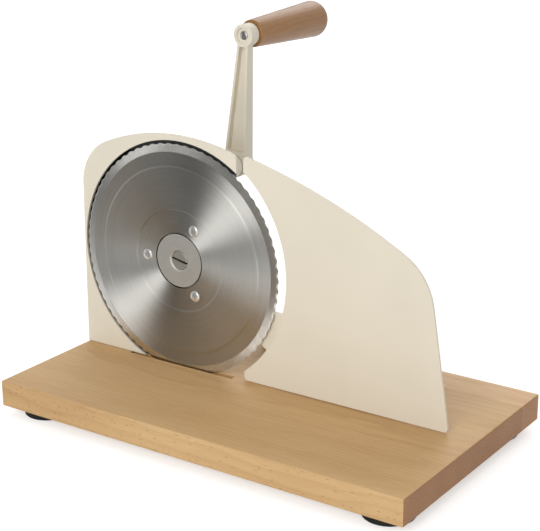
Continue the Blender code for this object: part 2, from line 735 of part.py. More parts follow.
def housing_outline(inset):
    foot = HOUSING_FOOT_RADIUS
    corner = HOUSING_CORNER_RADIUS
    corner_z = WALL_TOP_Z - HOUSING_CORNER_DROP - corner
    around_gears = HOUSING_GEAR_CLEARANCE + HOUSING_WALL
    circles = (
        (HOUSING_LEFT_X + foot, SEAT_GAP + foot, foot),
        (HOUSING_RIGHT_X - foot, SEAT_GAP + foot, foot),
        (HOUSING_LEFT_X + corner, corner_z, corner),
        (BLADE_X, CRANK_HEIGHT, PINION_OUTER_RADIUS + around_gears),
        (BLADE_X, BLADE_HEIGHT, GEAR_OUTER_RADIUS + around_gears),
    )
    return belt([(x, z, radius - inset) for x, z, radius in circles], FINE_SIDES)


def flange_outline():
    """The wall's outline set in, as far as its tip, then down behind the blade to the foot."""
    tip_x = WALL_TIP_X - FLANGE_INSET
    top = wall_arch(tip_x, FLANGE_INSET)
    left_foot = (top[-1][0], HOUSING_FOOT_RADIUS)
    right_foot = (HOUSING_RIGHT_X - HOUSING_FOOT_RADIUS, HOUSING_FOOT_RADIUS)
    return [left_foot, right_foot, (tip_x, BLADE_HEIGHT + FLANGE_SHOULDER_RISE), *top]


def add_housing(machine, finishes):
    body = prism(housing_outline(0), HOUSING_FRONT_Y, HOUSING_BACK_Y)
    housing = piece("rear_housing", body, finishes["dark_plastic"], machine)
    flange_front = HOUSING_FRONT_Y + SEAT_GAP
    join(housing, prism(flange_outline(), flange_front, flange_front + FLANGE_THICKNESS))
    floor_y = HOUSING_BACK_Y - HOUSING_WALL
    cut(housing, prism(housing_outline(HOUSING_WALL), HOUSING_FRONT_Y - CUT_OVERRUN, floor_y))
    overlap_y = floor_y + HOUSING_WALL / 2
    blade_seat = SPINDLE_RADIUS + RUN_GAP + BUSH_WALL + SEAT_GAP
    crank_seat = CRANK_SHAFT_RADIUS + RUN_GAP + BUSH_WALL + SEAT_GAP
    crank_hole = crank_seat + TUBE_SPIGOT_WALL + SEAT_GAP
    bosses = (
        (BLADE_HEIGHT, blade_seat, BLADE_BOSS_BACK_Y, BLADE_BOSS_BACK_Y),
        (CRANK_HEIGHT, crank_hole, overlap_y, HOUSING_BACK_Y),
    )
    for z, hole, boss_back, hole_back in bosses:
        join(housing, rod(hole + BOSS_WALL, BOSS_FRONT_Y, boss_back, ROUND_SIDES), (BLADE_X, 0, z))
    for z, hole, boss_back, hole_back in bosses:
        bore = rod(hole, BOSS_FRONT_Y - CUT_OVERRUN, hole_back + CUT_OVERRUN, ROUND_SIDES)
        cut(housing, bore, (BLADE_X, 0, z))
    for x, z in WALL_STUDS:
        join(housing, rod(HOUSING_BOSS_RADIUS, HOUSING_FRONT_Y + SEAT_GAP, overlap_y), (x, 0, z))
        hole = STUD_RADIUS + SEAT_GAP
        cut(housing, rod(hole, HOUSING_FRONT_Y - CUT_OVERRUN, HOUSING_BACK_Y + CUT_OVERRUN), (x, 0, z))
    for i, x in enumerate(housing_screw_places()):
        hole = upright(rod(PILOT_RADIUS, SEAT_GAP - CUT_OVERRUN, HOUSING_WALL + CUT_OVERRUN))
        cut(housing, hole, (x, housing_screw_y(), 0))
        place = (x, housing_screw_y(), HOUSING_WALL + 2 * SEAT_GAP)
        add_wood_screw(f"housing_screw_{i + 1}", finishes, machine, place, upward=False)
    add_crank_tube(machine, finishes, housing, crank_seat)
    add_bushes("blade_bush", machine, finishes, BLADE_HEIGHT, blade_seat, BLADE_BOSS_BACK_Y)
    add_bushes("crank_bush", machine, finishes, CRANK_HEIGHT, crank_seat, CRANK_TUBE_BACK_Y)


def add_crank_tube(machine, finishes, housing, seat):
    """The long tube behind the housing that carries the crank's shaft."""
    spigot = seat + TUBE_SPIGOT_WALL
    flange_front = HOUSING_BACK_Y + SEAT_GAP
    flange_back = flange_front + TUBE_FLANGE_THICKNESS
    profile = [
        (seat, BOSS_FRONT_Y),
        (spigot, BOSS_FRONT_Y),
        (spigot, flange_front),
        (TUBE_FLANGE_RADIUS, flange_front),
        (TUBE_FLANGE_RADIUS, flange_back),
        (CRANK_TUBE_BASE_RADIUS, flange_back),
        (CRANK_TUBE_END_RADIUS, CRANK_TUBE_BACK_Y),
        (seat, CRANK_TUBE_BACK_Y),
    ]
    shape = turned(profile, ROUND_SIDES, closed=True)
    holder = piece("crank_tube", shape, finishes["cream_coat"], machine, (BLADE_X, 0, CRANK_HEIGHT))
    hole = TUBE_SCREW_RADIUS + SEAT_GAP
    floor_y = HOUSING_BACK_Y - HOUSING_WALL
    for i in range(TUBE_SCREW_COUNT):
        turn = math.pi / 2 + math.tau * i / TUBE_SCREW_COUNT
        x = TUBE_SCREW_CIRCLE * math.cos(turn)
        z = TUBE_SCREW_CIRCLE * math.sin(turn)
        half_side = (0, math.pi / SMALL_SIDES, 0)
        cut(holder, rod(hole, HOUSING_BACK_Y, flange_back + CUT_OVERRUN), (x, 0, z), half_side)
        floor_hole = rod(hole, floor_y - CUT_OVERRUN, flange_front)
        cut(housing, floor_hole, (BLADE_X + x, 0, CRANK_HEIGHT + z), half_side)
        reach = flange_back + SEAT_GAP - floor_y
        shape = screw(TUBE_SCREW_HEAD_RADIUS, TUBE_SCREW_HEAD_HEIGHT, TUBE_SCREW_RADIUS, reach)
        place = (BLADE_X + x, flange_back + SEAT_GAP, CRANK_HEIGHT + z)
        item = piece(f"tube_screw_{i + 1}", shape, finishes["zinc_steel"], machine, place, (0, 0, math.pi))
        cut(item, driver_slot(TUBE_SCREW_HEAD_RADIUS, TUBE_SCREW_HEAD_HEIGHT))


def add_bushes(name, machine, finishes, height, seat, back):
    """Two flanged bushes, one at each end of a bearing bore."""
    outer = seat - SEAT_GAP
    bore = outer - BUSH_WALL
    flange = outer + BUSH_FLANGE_THICKNESS
    for end, face, direction in (("front", BOSS_FRONT_Y, 1), ("rear", back, -1)):
        profile = [
            (bore, -SEAT_GAP - BUSH_FLANGE_THICKNESS),
            (flange, -SEAT_GAP - BUSH_FLANGE_THICKNESS),
            (flange, -SEAT_GAP),
            (outer, -SEAT_GAP),
            (outer, BUSH_LENGTH),
            (bore, BUSH_LENGTH),
        ]
        profile = [(radius, direction * y) for radius, y in profile]
        bush = turned(profile, ROUND_SIDES, closed=True)
        piece(f"{name}_{end}", bush, finishes["bronze"], machine, (BLADE_X, face, height))


def stitch(shape, inner, outer):
    """Faces between two rings, the outer with a whole number of points for each inner one."""
    share = len(outer) // len(inner)
    for i, point in enumerate(inner):
        following = inner[(i + 1) % len(inner)]
        near = [outer[(i * share + j) % len(outer)] for j in range(share + 1)]
        if share == 1:
            shape.faces.new((point, near[0], near[1], following))
            continue
        half = share // 2
        shape.faces.new((point, near[half], following))
        for j in range(share):
            shape.faces.new((point if j < half else following, near[j], near[j + 1]))


def wave_radius(turn):
    return BLADE_RADIUS - WAVE_DEPTH * (1 - math.cos(BLADE_WAVES * turn)) / 2


def blade_shape():
    """A pressed disc with a sunk and bored centre, a ground bevel and a finely waved edge."""
    shape = bmesh.new()
    bevel = BLADE_RADIUS - BEVEL_WIDTH
    rim = bevel - RIM_WIDTH
    step = rim - STEP_RUN
    bore = HUB_RADIUS + HUB_GROOVE
    front = [
        (bevel, -BEVEL_RISE),
        (rim, RIM_FRONT_Y),
        (step, STEP_FRONT_Y),
        (BLADE_CENTRE_RADIUS + CENTRE_RUN, DISH_FRONT_Y),
        (BLADE_CENTRE_RADIUS, CENTRE_FRONT_Y),
        (bore, CENTRE_FRONT_Y),
    ]
    back = [(radius, y + BLADE_THICKNESS) for radius, y in reversed(front)]
    rings = [ring(shape, radius, y, BLADE_WAVES) for radius, y in front + back]
    edge_front = ring(shape, wave_radius, 0, BLADE_WAVES * WAVE_STEP_COUNT)
    edge_back = ring(shape, wave_radius, EDGE_LAND, BLADE_WAVES * WAVE_STEP_COUNT)
    stitch(shape, rings[0], edge_front)
    stitch(shape, edge_front, edge_back)
    stitch(shape, rings[-1], edge_back)
    for inner, outer in zip(rings, rings[1:]):
        stitch(shape, inner, outer)
    bmesh.ops.recalc_face_normals(shape, faces=shape.faces)
    return shape


def rivet_places():
    turns = [math.pi + math.tau * i / RIVET_COUNT for i in range(RIVET_COUNT)]
    return [(RIVET_CIRCLE * math.cos(turn), RIVET_CIRCLE * math.sin(turn)) for turn in turns]


def involute(angle):
    return math.tan(angle) - angle


def gear_outline(teeth):
    """Involute teeth, one of them centred on +X."""
    pitch = GEAR_MODULE * teeth / 2
    base = pitch * math.cos(PRESSURE_ANGLE)
    outer = pitch + GEAR_MODULE
    root = pitch - GEAR_MODULE * (1 + ROOT_CLEARANCE_SHARE)
    start = max(base, root)
    half = math.pi / (2 * teeth) - TOOTH_BACKLASH / (4 * pitch) + involute(PRESSURE_ANGLE)
    flank = []
    for i in range(FLANK_STEP_COUNT):
        radius = start + (outer - start) * i / (FLANK_STEP_COUNT - 1)
        flank.append((radius, half - involute(math.acos(base / radius))))
    tooth = [(radius, -angle) for radius, angle in flank] + flank[::-1]
    if root < start:
        tooth = [(root, -flank[0][1])] + tooth + [(root, flank[0][1])]
    outline = []
    for i in range(teeth):
        centre = math.tau * i / teeth
        for radius, angle in tooth:
            outline.append((radius * math.cos(centre + angle), radius * math.sin(centre + angle)))
    return outline


def add_blade(axis, finishes):
    blade = piece("blade", blade_shape(), finishes["blade_steel"], axis)
    hub_profile = [
        (COUNTERSINK_RADIUS, CENTRE_FRONT_Y),
        (HUB_RADIUS, CENTRE_FRONT_Y),
        (HUB_RADIUS, CENTRE_BACK_Y),
        (BLADE_SCREW_HEAD_RADIUS + SEAT_GAP, CENTRE_BACK_Y),
    ]
    piece("blade_hub", turned(hub_profile, FINE_SIDES, closed=True), finishes["blade_steel"], axis)
    add_blade_screw(axis, finishes)
    for i, (x, z) in enumerate(rivet_places()):
        piece(f"blade_rivet_{i + 1}", rivet_shape(), finishes["bright_steel"], axis, (x, 0, z))
    add_blade_gear(axis, finishes)
    clearance = RIVET_SHANK_RADIUS + SEAT_GAP
    for x, z in rivet_places():
        hole = rod(clearance, CENTRE_FRONT_Y - CUT_OVERRUN, CENTRE_BACK_Y + CUT_OVERRUN)
        cut(blade, hole, (x, 0, z), (0, math.pi / SMALL_SIDES, 0))
    end_y = BLADE_BOSS_BACK_Y + 3 * SEAT_GAP + BUSH_FLANGE_THICKNESS + SPINDLE_CLIP_THICKNESS
    spindle = rod(SPINDLE_RADIUS, SPINDLE_FRONT_Y, end_y + SPINDLE_CLIP_THICKNESS, ROUND_SIDES)
    spindle = piece("blade_spindle", spindle, finishes["zinc_steel"], axis)
    thread = BLADE_SCREW_RADIUS + SEAT_GAP
    cut(spindle, rod(thread, SPINDLE_FRONT_Y - CUT_OVERRUN, SPINDLE_FRONT_Y + BLADE_SCREW_REACH))
    clip_bore = SPINDLE_RADIUS + SEAT_GAP
    clip = tube(clip_bore, SPINDLE_CLIP_RADIUS, end_y - SPINDLE_CLIP_THICKNESS, end_y, ROUND_SIDES)
    piece("spindle_clip", clip, finishes["zinc_steel"], axis)


def rivet_shape():
    front = CENTRE_FRONT_Y - SEAT_GAP
    tail = GEAR_WEB_BACK_Y + SEAT_GAP
    profile = []
    for a in quarter_turns():
        profile.append((RIVET_HEAD_RADIUS * math.sin(a), front - RIVET_HEAD_HEIGHT * math.cos(a)))
    profile += [
        (RIVET_SHANK_RADIUS, front),
        (RIVET_SHANK_RADIUS, tail),
        (RIVET_TAIL_RADIUS, tail),
        (RIVET_TAIL_RADIUS, tail + RIVET_TAIL_HEIGHT),
        (0, tail + RIVET_TAIL_HEIGHT),
    ]
    return turned(profile, SMALL_SIDES)


def quarter_turns(count=QUARTER_STEP_COUNT):
    return [math.pi / 2 * i / count for i in range(count + 1)]


def add_blade_screw(axis, finishes):
    front = CENTRE_FRONT_Y + BLADE_SCREW_SINK
    profile = [
        (0, front),
        (BLADE_SCREW_HEAD_RADIUS, front),
        (BLADE_SCREW_HEAD_RADIUS, CENTRE_BACK_Y),
        (BLADE_SCREW_RADIUS, CENTRE_BACK_Y),
        (BLADE_SCREW_RADIUS, SPINDLE_FRONT_Y + BLADE_SCREW_REACH - SEAT_GAP),
        (0, SPINDLE_FRONT_Y + BLADE_SCREW_REACH - SEAT_GAP),
    ]
    item = piece("blade_screw", turned(profile, ROUND_SIDES), finishes["bright_steel"], axis)
    reach = BLADE_SCREW_HEAD_RADIUS + CUT_OVERRUN
    half = BLADE_SLOT_WIDTH / 2
    slot = block((-reach, front - CUT_OVERRUN, -half), (reach, front + BLADE_SLOT_DEPTH, half))
    cut(item, slot, turn=(0, BLADE_SLOT_TILT, 0))


def add_blade_gear(axis, finishes):
    """A toothed cup whose web is riveted to the back of the blade."""
    teeth = prism(gear_outline(BLADE_GEAR_TEETH), GEAR_FRONT_Y, GEAR_BACK_Y)
    gear = piece("blade_gear", teeth, finishes["gear_plastic"], axis)
    join(gear, rod(GEAR_WEB_RADIUS, SPINDLE_FRONT_Y, GEAR_WEB_BACK_Y, FINE_SIDES))
    hollow = GEAR_OUTER_RADIUS - GEAR_MODULE * 2 - GEAR_RIM_WALL
    hub = SPINDLE_RADIUS + SEAT_GAP + GEAR_RIM_WALL
    cut(gear, tube(hub, hollow, GEAR_WEB_BACK_Y, GEAR_BACK_Y + CUT_OVERRUN, ROUND_SIDES))
    cut(gear, rod(SPINDLE_RADIUS + SEAT_GAP, 0, GEAR_BACK_Y + CUT_OVERRUN, ROUND_SIDES))
    for x, z in rivet_places():
        cut(gear, rod(RIVET_SHANK_RADIUS + SEAT_GAP, 0, GEAR_BACK_Y), (x, 0, z))


def add_crank(axis, finishes):
    head_front = GEAR_FRONT_Y - SEAT_GAP - SHAFT_HEAD_THICKNESS
    nut_front = ARM_FRONT_Y + ARM_HUB_DEPTH + SEAT_GAP
    shaft_back = nut_front + CRANK_NUT_THICKNESS
    profile = [
        (0, head_front),
        (SHAFT_HEAD_RADIUS, head_front),
        (SHAFT_HEAD_RADIUS, head_front + SHAFT_HEAD_THICKNESS),
        (CRANK_SHAFT_RADIUS, head_front + SHAFT_HEAD_THICKNESS),
        (CRANK_SHAFT_RADIUS, nut_front - 2 * SEAT_GAP),
        (CRANK_THREAD_RADIUS, nut_front - 2 * SEAT_GAP),
        (CRANK_THREAD_RADIUS, shaft_back),
        (0, shaft_back),
    ]
    piece("crank_shaft", turned(profile, ROUND_SIDES), finishes["zinc_steel"], axis)
    teeth = prism(gear_outline(PINION_TEETH), GEAR_FRONT_Y, GEAR_BACK_Y)
    pinion = piece("pinion", teeth, finishes["zinc_steel"], axis)
    bore = CRANK_SHAFT_RADIUS + SEAT_GAP
    cut(pinion, rod(bore, GEAR_FRONT_Y - CUT_OVERRUN, GEAR_BACK_Y + CUT_OVERRUN, ROUND_SIDES))
    add_crank_nut(axis, finishes, nut_front)
    leaning = frame("crank_arm_frame", axis, (0, ARM_FRONT_Y, 0), (0, ARM_LEAN, 0))
    add_arm(leaning, finishes, bore)
    grip_axis = frame("grip_axis", leaning, (0, GRIP_FRONT_Y, ARM_LENGTH))
    add_grip(grip_axis, finishes)


def add_crank_nut(axis, finishes, front):
    bore = CRANK_THREAD_RADIUS + SEAT_GAP
    flats = prism(nut_outline(CRANK_NUT_RADIUS), 0, CRANK_NUT_THICKNESS)
    item = piece("crank_nut", flats, finishes["zinc_steel"], axis, (0, front, 0))
    dome_radius = CRANK_NUT_RADIUS * math.cos(math.pi / NUT_SIDES) - SEAT_GAP
    start = CRANK_NUT_THICKNESS / 2
    height = CRANK_NUT_THICKNESS / 2 + CRANK_NUT_DOME
    dome = [(0, start)]
    for a in quarter_turns():
        dome.append((dome_radius * math.cos(a), start + height * math.sin(a)))
    join(item, turned(dome, SMALL_SIDES))
    cut(item, rod(bore, -CUT_OVERRUN, CRANK_NUT_THICKNESS + SEAT_GAP))


def arm_half_width(height):
    """Half the arm's width at a height above the hub, along its straight sides."""
    lean = math.asin((ARM_HUB_RADIUS - ARM_NECK_RADIUS) / ARM_LENGTH)
    return ARM_HUB_RADIUS / math.cos(lean) - height * math.tan(lean)


def add_arm(leaning, finishes, bore):
    """A tapered arm with a pocket in its front and a short skirt round the rear bush's flange."""
    outline = belt([(0, 0, ARM_HUB_RADIUS), (0, ARM_LENGTH, ARM_NECK_RADIUS)])
    shape = prism(outline, 0, ARM_HUB_DEPTH)
    for point in shape.verts:
        if point.co.y > 0:
            point.co.y += (ARM_TIP_DEPTH - ARM_HUB_DEPTH) * max(point.co.z, 0) / ARM_LENGTH
    arm = piece("crank_arm", shape, finishes["cream_coat"], leaning)
    low = ARM_HUB_RADIUS + ARM_RECESS_HUB_WALL
    high = ARM_LENGTH - ARM_BOSS_RADIUS - ARM_RECESS_BOSS_WALL
    bottom = arm_half_width(low) - ARM_FLANGE
    top = arm_half_width(high) - ARM_FLANGE
    corners = [(-bottom, low), (bottom, low), (top, high), (-top, high)]
    pocket = []
    for i, corner in enumerate(corners):
        pocket += rounded_corner(corners[i - 1], corner, corners[(i + 1) % len(corners)], ARM_RECESS_CORNER)
    cut(arm, prism(pocket, -CUT_OVERRUN, ARM_RECESS_DEPTH))
    join(arm, rod(ARM_BOSS_RADIUS, -ARM_BOSS_RISE, ARM_BOSS_DEPTH, ROUND_SIDES), (0, 0, ARM_LENGTH))
    sink = ARM_BOSS_RADIUS - ARM_BOSS_LIP
    cut(arm, rod(sink, -CUT_OVERRUN, ARM_BOSS_SINK, ROUND_SIDES), (0, 0, ARM_LENGTH))
    hole = GRIP_BOLT_RADIUS + SEAT_GAP
    cut(arm, rod(hole, -CUT_OVERRUN, ARM_BOSS_DEPTH + CUT_OVERRUN, ROUND_SIDES), (0, 0, ARM_LENGTH))
    skirt = bore + BUSH_WALL + BUSH_FLANGE_THICKNESS + 2 * RUN_GAP
    skirt_front = -SEAT_GAP - BUSH_FLANGE_THICKNESS
    join(arm, rod(skirt + ARM_SKIRT_WALL, skirt_front, ARM_RECESS_DEPTH / 2, ROUND_SIDES))
    cut(arm, rod(skirt, skirt_front - CUT_OVERRUN, 0, ROUND_SIDES))
    cut(arm, rod(bore, -CUT_OVERRUN, ARM_HUB_DEPTH + CUT_OVERRUN, ROUND_SIDES))


def add_grip(axis, finishes):
    """A turned grip that spins on its bolt, with a plug over the bolt's head."""
    profile = [
        (GRIP_BORE_RADIUS, 0),
        (GRIP_NEAR_RADIUS - GRIP_CHAMFER, 0),
        (GRIP_NEAR_RADIUS, GRIP_CHAMFER),
    ]
    straight = GRIP_LENGTH - GRIP_END_ROUND
    for a in quarter_turns(GRIP_END_STEP_COUNT):
        inner = GRIP_FAR_RADIUS - GRIP_END_ROUND
        profile.append((inner + GRIP_END_ROUND * math.cos(a), straight + GRIP_END_ROUND * math.sin(a)))
    profile += [
        (GRIP_POCKET_RADIUS, GRIP_LENGTH),
        (GRIP_POCKET_RADIUS, GRIP_HEAD_Y - SEAT_GAP),
        (GRIP_BORE_RADIUS, GRIP_HEAD_Y - SEAT_GAP),
    ]
    piece("handle_grip", turned(profile, ROUND_SIDES, closed=True), finishes["beech_grip"], axis)
    plug = rod(GRIP_PLUG_RADIUS, GRIP_LENGTH - GRIP_PLUG_DEPTH, GRIP_LENGTH)
    piece("grip_plug", plug, finishes["beech_grip"], axis)
    washer_y = -RUN_GAP - GRIP_WASHER_THICKNESS
    washer = tube(GRIP_BOLT_RADIUS + SEAT_GAP, GRIP_WASHER_RADIUS, washer_y, -RUN_GAP, ROUND_SIDES)
    piece("grip_washer", washer, finishes["zinc_steel"], axis)
    tip_back = ARM_BOSS_SINK - SEAT_GAP - GRIP_FRONT_Y
    bolt = [
        (0, tip_back - GRIP_BOLT_TIP_HEIGHT),
        (GRIP_BOLT_RADIUS, tip_back - GRIP_BOLT_TIP_HEIGHT),
        (GRIP_BOLT_TIP_RADIUS, tip_back - GRIP_BOLT_TIP_HEIGHT / 2),
        (GRIP_BOLT_TIP_RADIUS, tip_back),
        (GRIP_BOLT_RADIUS, tip_back),
        (GRIP_BOLT_RADIUS, GRIP_HEAD_Y),
        (GRIP_BOLT_HEAD_RADIUS, GRIP_HEAD_Y),
        (GRIP_BOLT_HEAD_RADIUS, GRIP_HEAD_Y + GRIP_BOLT_HEAD_THICKNESS),
        (0, GRIP_HEAD_Y + GRIP_BOLT_HEAD_THICKNESS),
    ]
    piece("handle_bolt", turned(bolt, SMALL_SIDES), finishes["bright_steel"], axis)


def plate_point(shares):
    return (PLATE_LEFT_X + shares[0] * PLATE_WIDTH, PLATE_LIFT + shares[1] * PLATE_HEIGHT)


def plate_outline():
    """The stop plate: a hollow edge round the blade and a long shouldered back."""
    toe_z = PLATE_LIFT + PLATE_TOE_HEIGHT
    centre = (BLADE_X + PLATE_HOLLOW_SHIFT, BLADE_HEIGHT + PLATE_HOLLOW_RISE)
    toe_angle = -math.asin((centre[1] - toe_z) / HOLLOW_RADIUS)
    top_angle = math.acos((PLATE_TOP_LEFT_X - centre[0]) / HOLLOW_RADIUS)
    hollow = arc(centre, HOLLOW_RADIUS, top_angle, toe_angle)
    top = PLATE_LIFT + PLATE_HEIGHT
    right = PLATE_LEFT_X + PLATE_WIDTH
    corners = [
        ((PLATE_TOP_LEFT_X, hollow[0][1]), 0),
        (hollow[-1], 0),
        ((PLATE_LEFT_X, toe_z - PLATE_TOE_SHIFT), PLATE_TOE_SHIFT),
        ((PLATE_LEFT_X, PLATE_LIFT), PLATE_SMALL_RADIUS),
        ((right, PLATE_LIFT), PLATE_SMALL_RADIUS),
        (plate_point(PLATE_CORNER_SHARES), PLATE_CORNER_RADIUS),
        (plate_point(PLATE_SHOULDER_SHARES), PLATE_SHOULDER_RADIUS),
        ((PLATE_TOP_LEFT_X, top), PLATE_SMALL_RADIUS),
    ]
    outline = list(hollow)
    for i in range(2, len(corners)):
        before = corners[i - 1][0]
        after = corners[(i + 1) % len(corners)][0]
        outline += rounded_corner(before, corners[i][0], after, corners[i][1])
    return outline


def add_stop(carriage, finishes):
    """The stop plate and the carriage that slides it back on two rods."""
    plate = prism(plate_outline(), PLATE_SETBACK, PLATE_BACK_Y)
    plate = piece("stop_plate", plate, finishes["cream_coat"], carriage)
    middle = (PLATE_SETBACK + PLATE_BACK_Y) / 2
    outline = belt([(x, SPINDLE_HEIGHT, BRACKET_RADIUS) for x in ROD_PLACES])
    bar = prism(outline, BRACKET_FRONT_Y, BRACKET_BACK_Y)
    bracket = piece("plate_bracket", bar, finishes["zinc_steel"], carriage)
    leg_top = SPINDLE_HEIGHT + BRACKET_LEG_HEIGHT
    leg = belt([(ADJUSTER_X, z, BRACKET_LEG_RADIUS) for z in (SPINDLE_HEIGHT, leg_top)])
    join(bracket, prism(leg, BRACKET_FRONT_Y, BRACKET_BACK_Y))
    for i, (x, z) in enumerate(STOP_STUDS):
        join(plate, rod(STUD_RADIUS, middle, STOP_STUD_BACK_Y), (x, 0, z))
        cut(bracket, rod(STUD_RADIUS + SEAT_GAP, 0, BRACKET_BACK_Y + CUT_OVERRUN), (x, 0, z))
        add_nut(f"bracket_nut_{i + 1}", finishes["zinc_steel"], carriage, (x, BRACKET_BACK_Y + SEAT_GAP, z))
    rod_front = BRACKET_FRONT_Y + SEAT_GAP
    for name, x in zip(("guide_rod_left", "guide_rod_right"), ROD_PLACES):
        cut(bracket, rod(ROD_RADIUS + SEAT_GAP, 0, BRACKET_BACK_Y + CUT_OVERRUN), (x, 0, SPINDLE_HEIGHT))
        shape = rod(ROD_RADIUS, rod_front, BLOCK_BACK_Y)
        piece(name, shape, finishes["bright_steel"], carriage, (x, 0, SPINDLE_HEIGHT))
    place = (ADJUSTER_X, 0, SPINDLE_HEIGHT)
    cut(bracket, rod(LEAD_NUT_RADIUS + SEAT_GAP, 0, BRACKET_BACK_Y + CUT_OVERRUN, ROUND_SIDES), place)
    bore = LEAD_SCREW_RADIUS + RUN_GAP
    lead_nut = tube(bore, LEAD_NUT_RADIUS, rod_front, rod_front + LEAD_NUT_LENGTH, ROUND_SIDES)
    piece("lead_nut", lead_nut, finishes["bronze"], carriage, place)


def block_shape():
    """A slab with round ends whose top falls towards the back."""
    radius = BLOCK_DEPTH / 2
    ends = (BLOCK_LEFT_X + radius, BLOCK_RIGHT_X - radius)
    shape = slab(belt([(x, BLOCK_MIDDLE_Y, radius) for x in ends]), SEAT_GAP, BLOCK_HEIGHT)
    for point in shape.verts:
        height = (point.co.z - SEAT_GAP) / (BLOCK_HEIGHT - SEAT_GAP)
        depth = (point.co.y - BLOCK_FRONT_Y) / BLOCK_DEPTH
        point.co.z -= BLOCK_TOP_FALL * height * depth
    return shape


def add_guide_block(machine, finishes):
    body = piece("guide_block", block_shape(), finishes["cream_coat"], machine)
    round_edges(body, BLOCK_EDGE)
    front = BLOCK_FRONT_Y - CUT_OVERRUN
    back = BLOCK_BACK_Y + CUT_OVERRUN
    for x in ROD_PLACES:
        cut(body, rod(ROD_RADIUS + RUN_GAP, front, back), (x, 0, SPINDLE_HEIGHT))
    cut(body, rod(LEAD_SCREW_RADIUS + RUN_GAP, front, back), (ADJUSTER_X, 0, SPINDLE_HEIGHT))
    seat = BLOCK_SCREW_HEAD_SINK - BOARD_THICKNESS - SEAT_GAP
    bite = BOARD_THICKNESS - BLOCK_SCREW_HEAD_SINK + WOOD_SCREW_BITE
    for name, x in zip(("block_screw_left", "block_screw_right"), block_screw_places()):
        hole = upright(rod(PILOT_RADIUS, SEAT_GAP - CUT_OVERRUN, WOOD_SCREW_BITE + PILOT_RADIUS))
        cut(body, hole, (x, BLOCK_MIDDLE_Y, 0))
        shape = screw(WOOD_SCREW_HEAD_RADIUS, WOOD_SCREW_HEAD_HEIGHT, WOOD_SCREW_RADIUS, bite)
        place = (x, BLOCK_MIDDLE_Y, seat)
        item = piece(name, shape, finishes["zinc_steel"], machine, place, (math.pi / 2, 0, 0))
        cut(item, driver_slot(WOOD_SCREW_HEAD_RADIUS, WOOD_SCREW_HEAD_HEIGHT))


def knob_outline():
    count = KNOB_FLUTES * KNOB_FLUTE_STEP_COUNT
    points = []
    for i in range(count):
        turn = math.tau * i / count
        radius = KNOB_RADIUS - KNOB_FLUTE_SINK * (1 - math.cos(KNOB_FLUTES * turn)) / 2
        points.append((radius * math.cos(turn), radius * math.sin(turn)))
    return points


def add_knob(axis, finishes):
    """The lead screw, its collar, the knob that turns it and the knob's screw."""
    back = KNOB_FRONT_Y + KNOB_LENGTH
    body = prism(knob_outline(), KNOB_FRONT_Y, back)
    knob = piece("thickness_knob", body, finishes["dark_plastic"], axis)
    round_edges(knob, KNOB_EDGE, 1)
    bore = rod(LEAD_SCREW_RADIUS + SEAT_GAP, KNOB_FRONT_Y - CUT_OVERRUN, LEAD_SCREW_BACK_Y + SEAT_GAP)
    cut(knob, bore)
    floor = back - KNOB_RECESS_DEPTH
    hole = KNOB_SCREW_RADIUS + SEAT_GAP
    cut(knob, rod(KNOB_SCREW_HEAD_RADIUS + SEAT_GAP, floor, back + CUT_OVERRUN))
    shaft = rod(LEAD_SCREW_RADIUS, LEAD_SCREW_FRONT_Y, LEAD_SCREW_BACK_Y)
    lead = piece("lead_screw", shaft, finishes["zinc_steel"], axis)
    cut(lead, rod(hole, LEAD_SCREW_BACK_Y - KNOB_SCREW_REACH, LEAD_SCREW_BACK_Y + CUT_OVERRUN))
    cut(knob, rod(hole, LEAD_SCREW_BACK_Y, floor + CUT_OVERRUN))
    shank = screw(KNOB_SCREW_HEAD_RADIUS, KNOB_SCREW_HEAD_HEIGHT, KNOB_SCREW_RADIUS, KNOB_SCREW_REACH)
    place = (0, floor + SEAT_GAP, 0)
    item = piece("knob_screw", shank, finishes["zinc_steel"], axis, place, (math.pi, 0, 0))
    cut(item, driver_slot(KNOB_SCREW_HEAD_RADIUS, KNOB_SCREW_HEAD_HEIGHT))
    collar_back = BLOCK_FRONT_Y - RUN_GAP
    inner = LEAD_SCREW_RADIUS + SEAT_GAP
    collar = tube(inner, COLLAR_RADIUS, collar_back - COLLAR_THICKNESS, collar_back, ROUND_SIDES)
    piece("lead_collar", collar, finishes["zinc_steel"], axis)


def build():
    clear_objects()
    finishes = make_finishes()
    machine = frame("machine", None, (0, MACHINE_Y, BOARD_TOP))
    add_board(machine, finishes)
    add_feet(machine, finishes)
    add_wall(machine, finishes)
    add_housing(machine, finishes)
    add_guide_block(machine, finishes)
    blade_axis = frame("blade_axis", machine, (BLADE_X, 0, BLADE_HEIGHT))
    add_blade(blade_axis, finishes)
    crank_axis = frame("crank_axis", machine, (BLADE_X, 0, CRANK_HEIGHT))
    add_crank(crank_axis, finishes)
    carriage = frame("stop_carriage", machine, (0, 0, 0))
    add_stop(carriage, finishes)
    knob_axis = frame("knob_axis", machine, (ADJUSTER_X, 0, SPINDLE_HEIGHT))
    add_knob(knob_axis, finishes)


build()
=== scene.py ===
"""The look of a hand-cranked slicer on a beech board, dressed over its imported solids.

Metres, +Z up. The machine stands on z = 0. Food is cut on the -Y side, and the crank is at the back.
"""

import json
import math

import bmesh
import bpy
from mathutils import Euler, Matrix, Vector


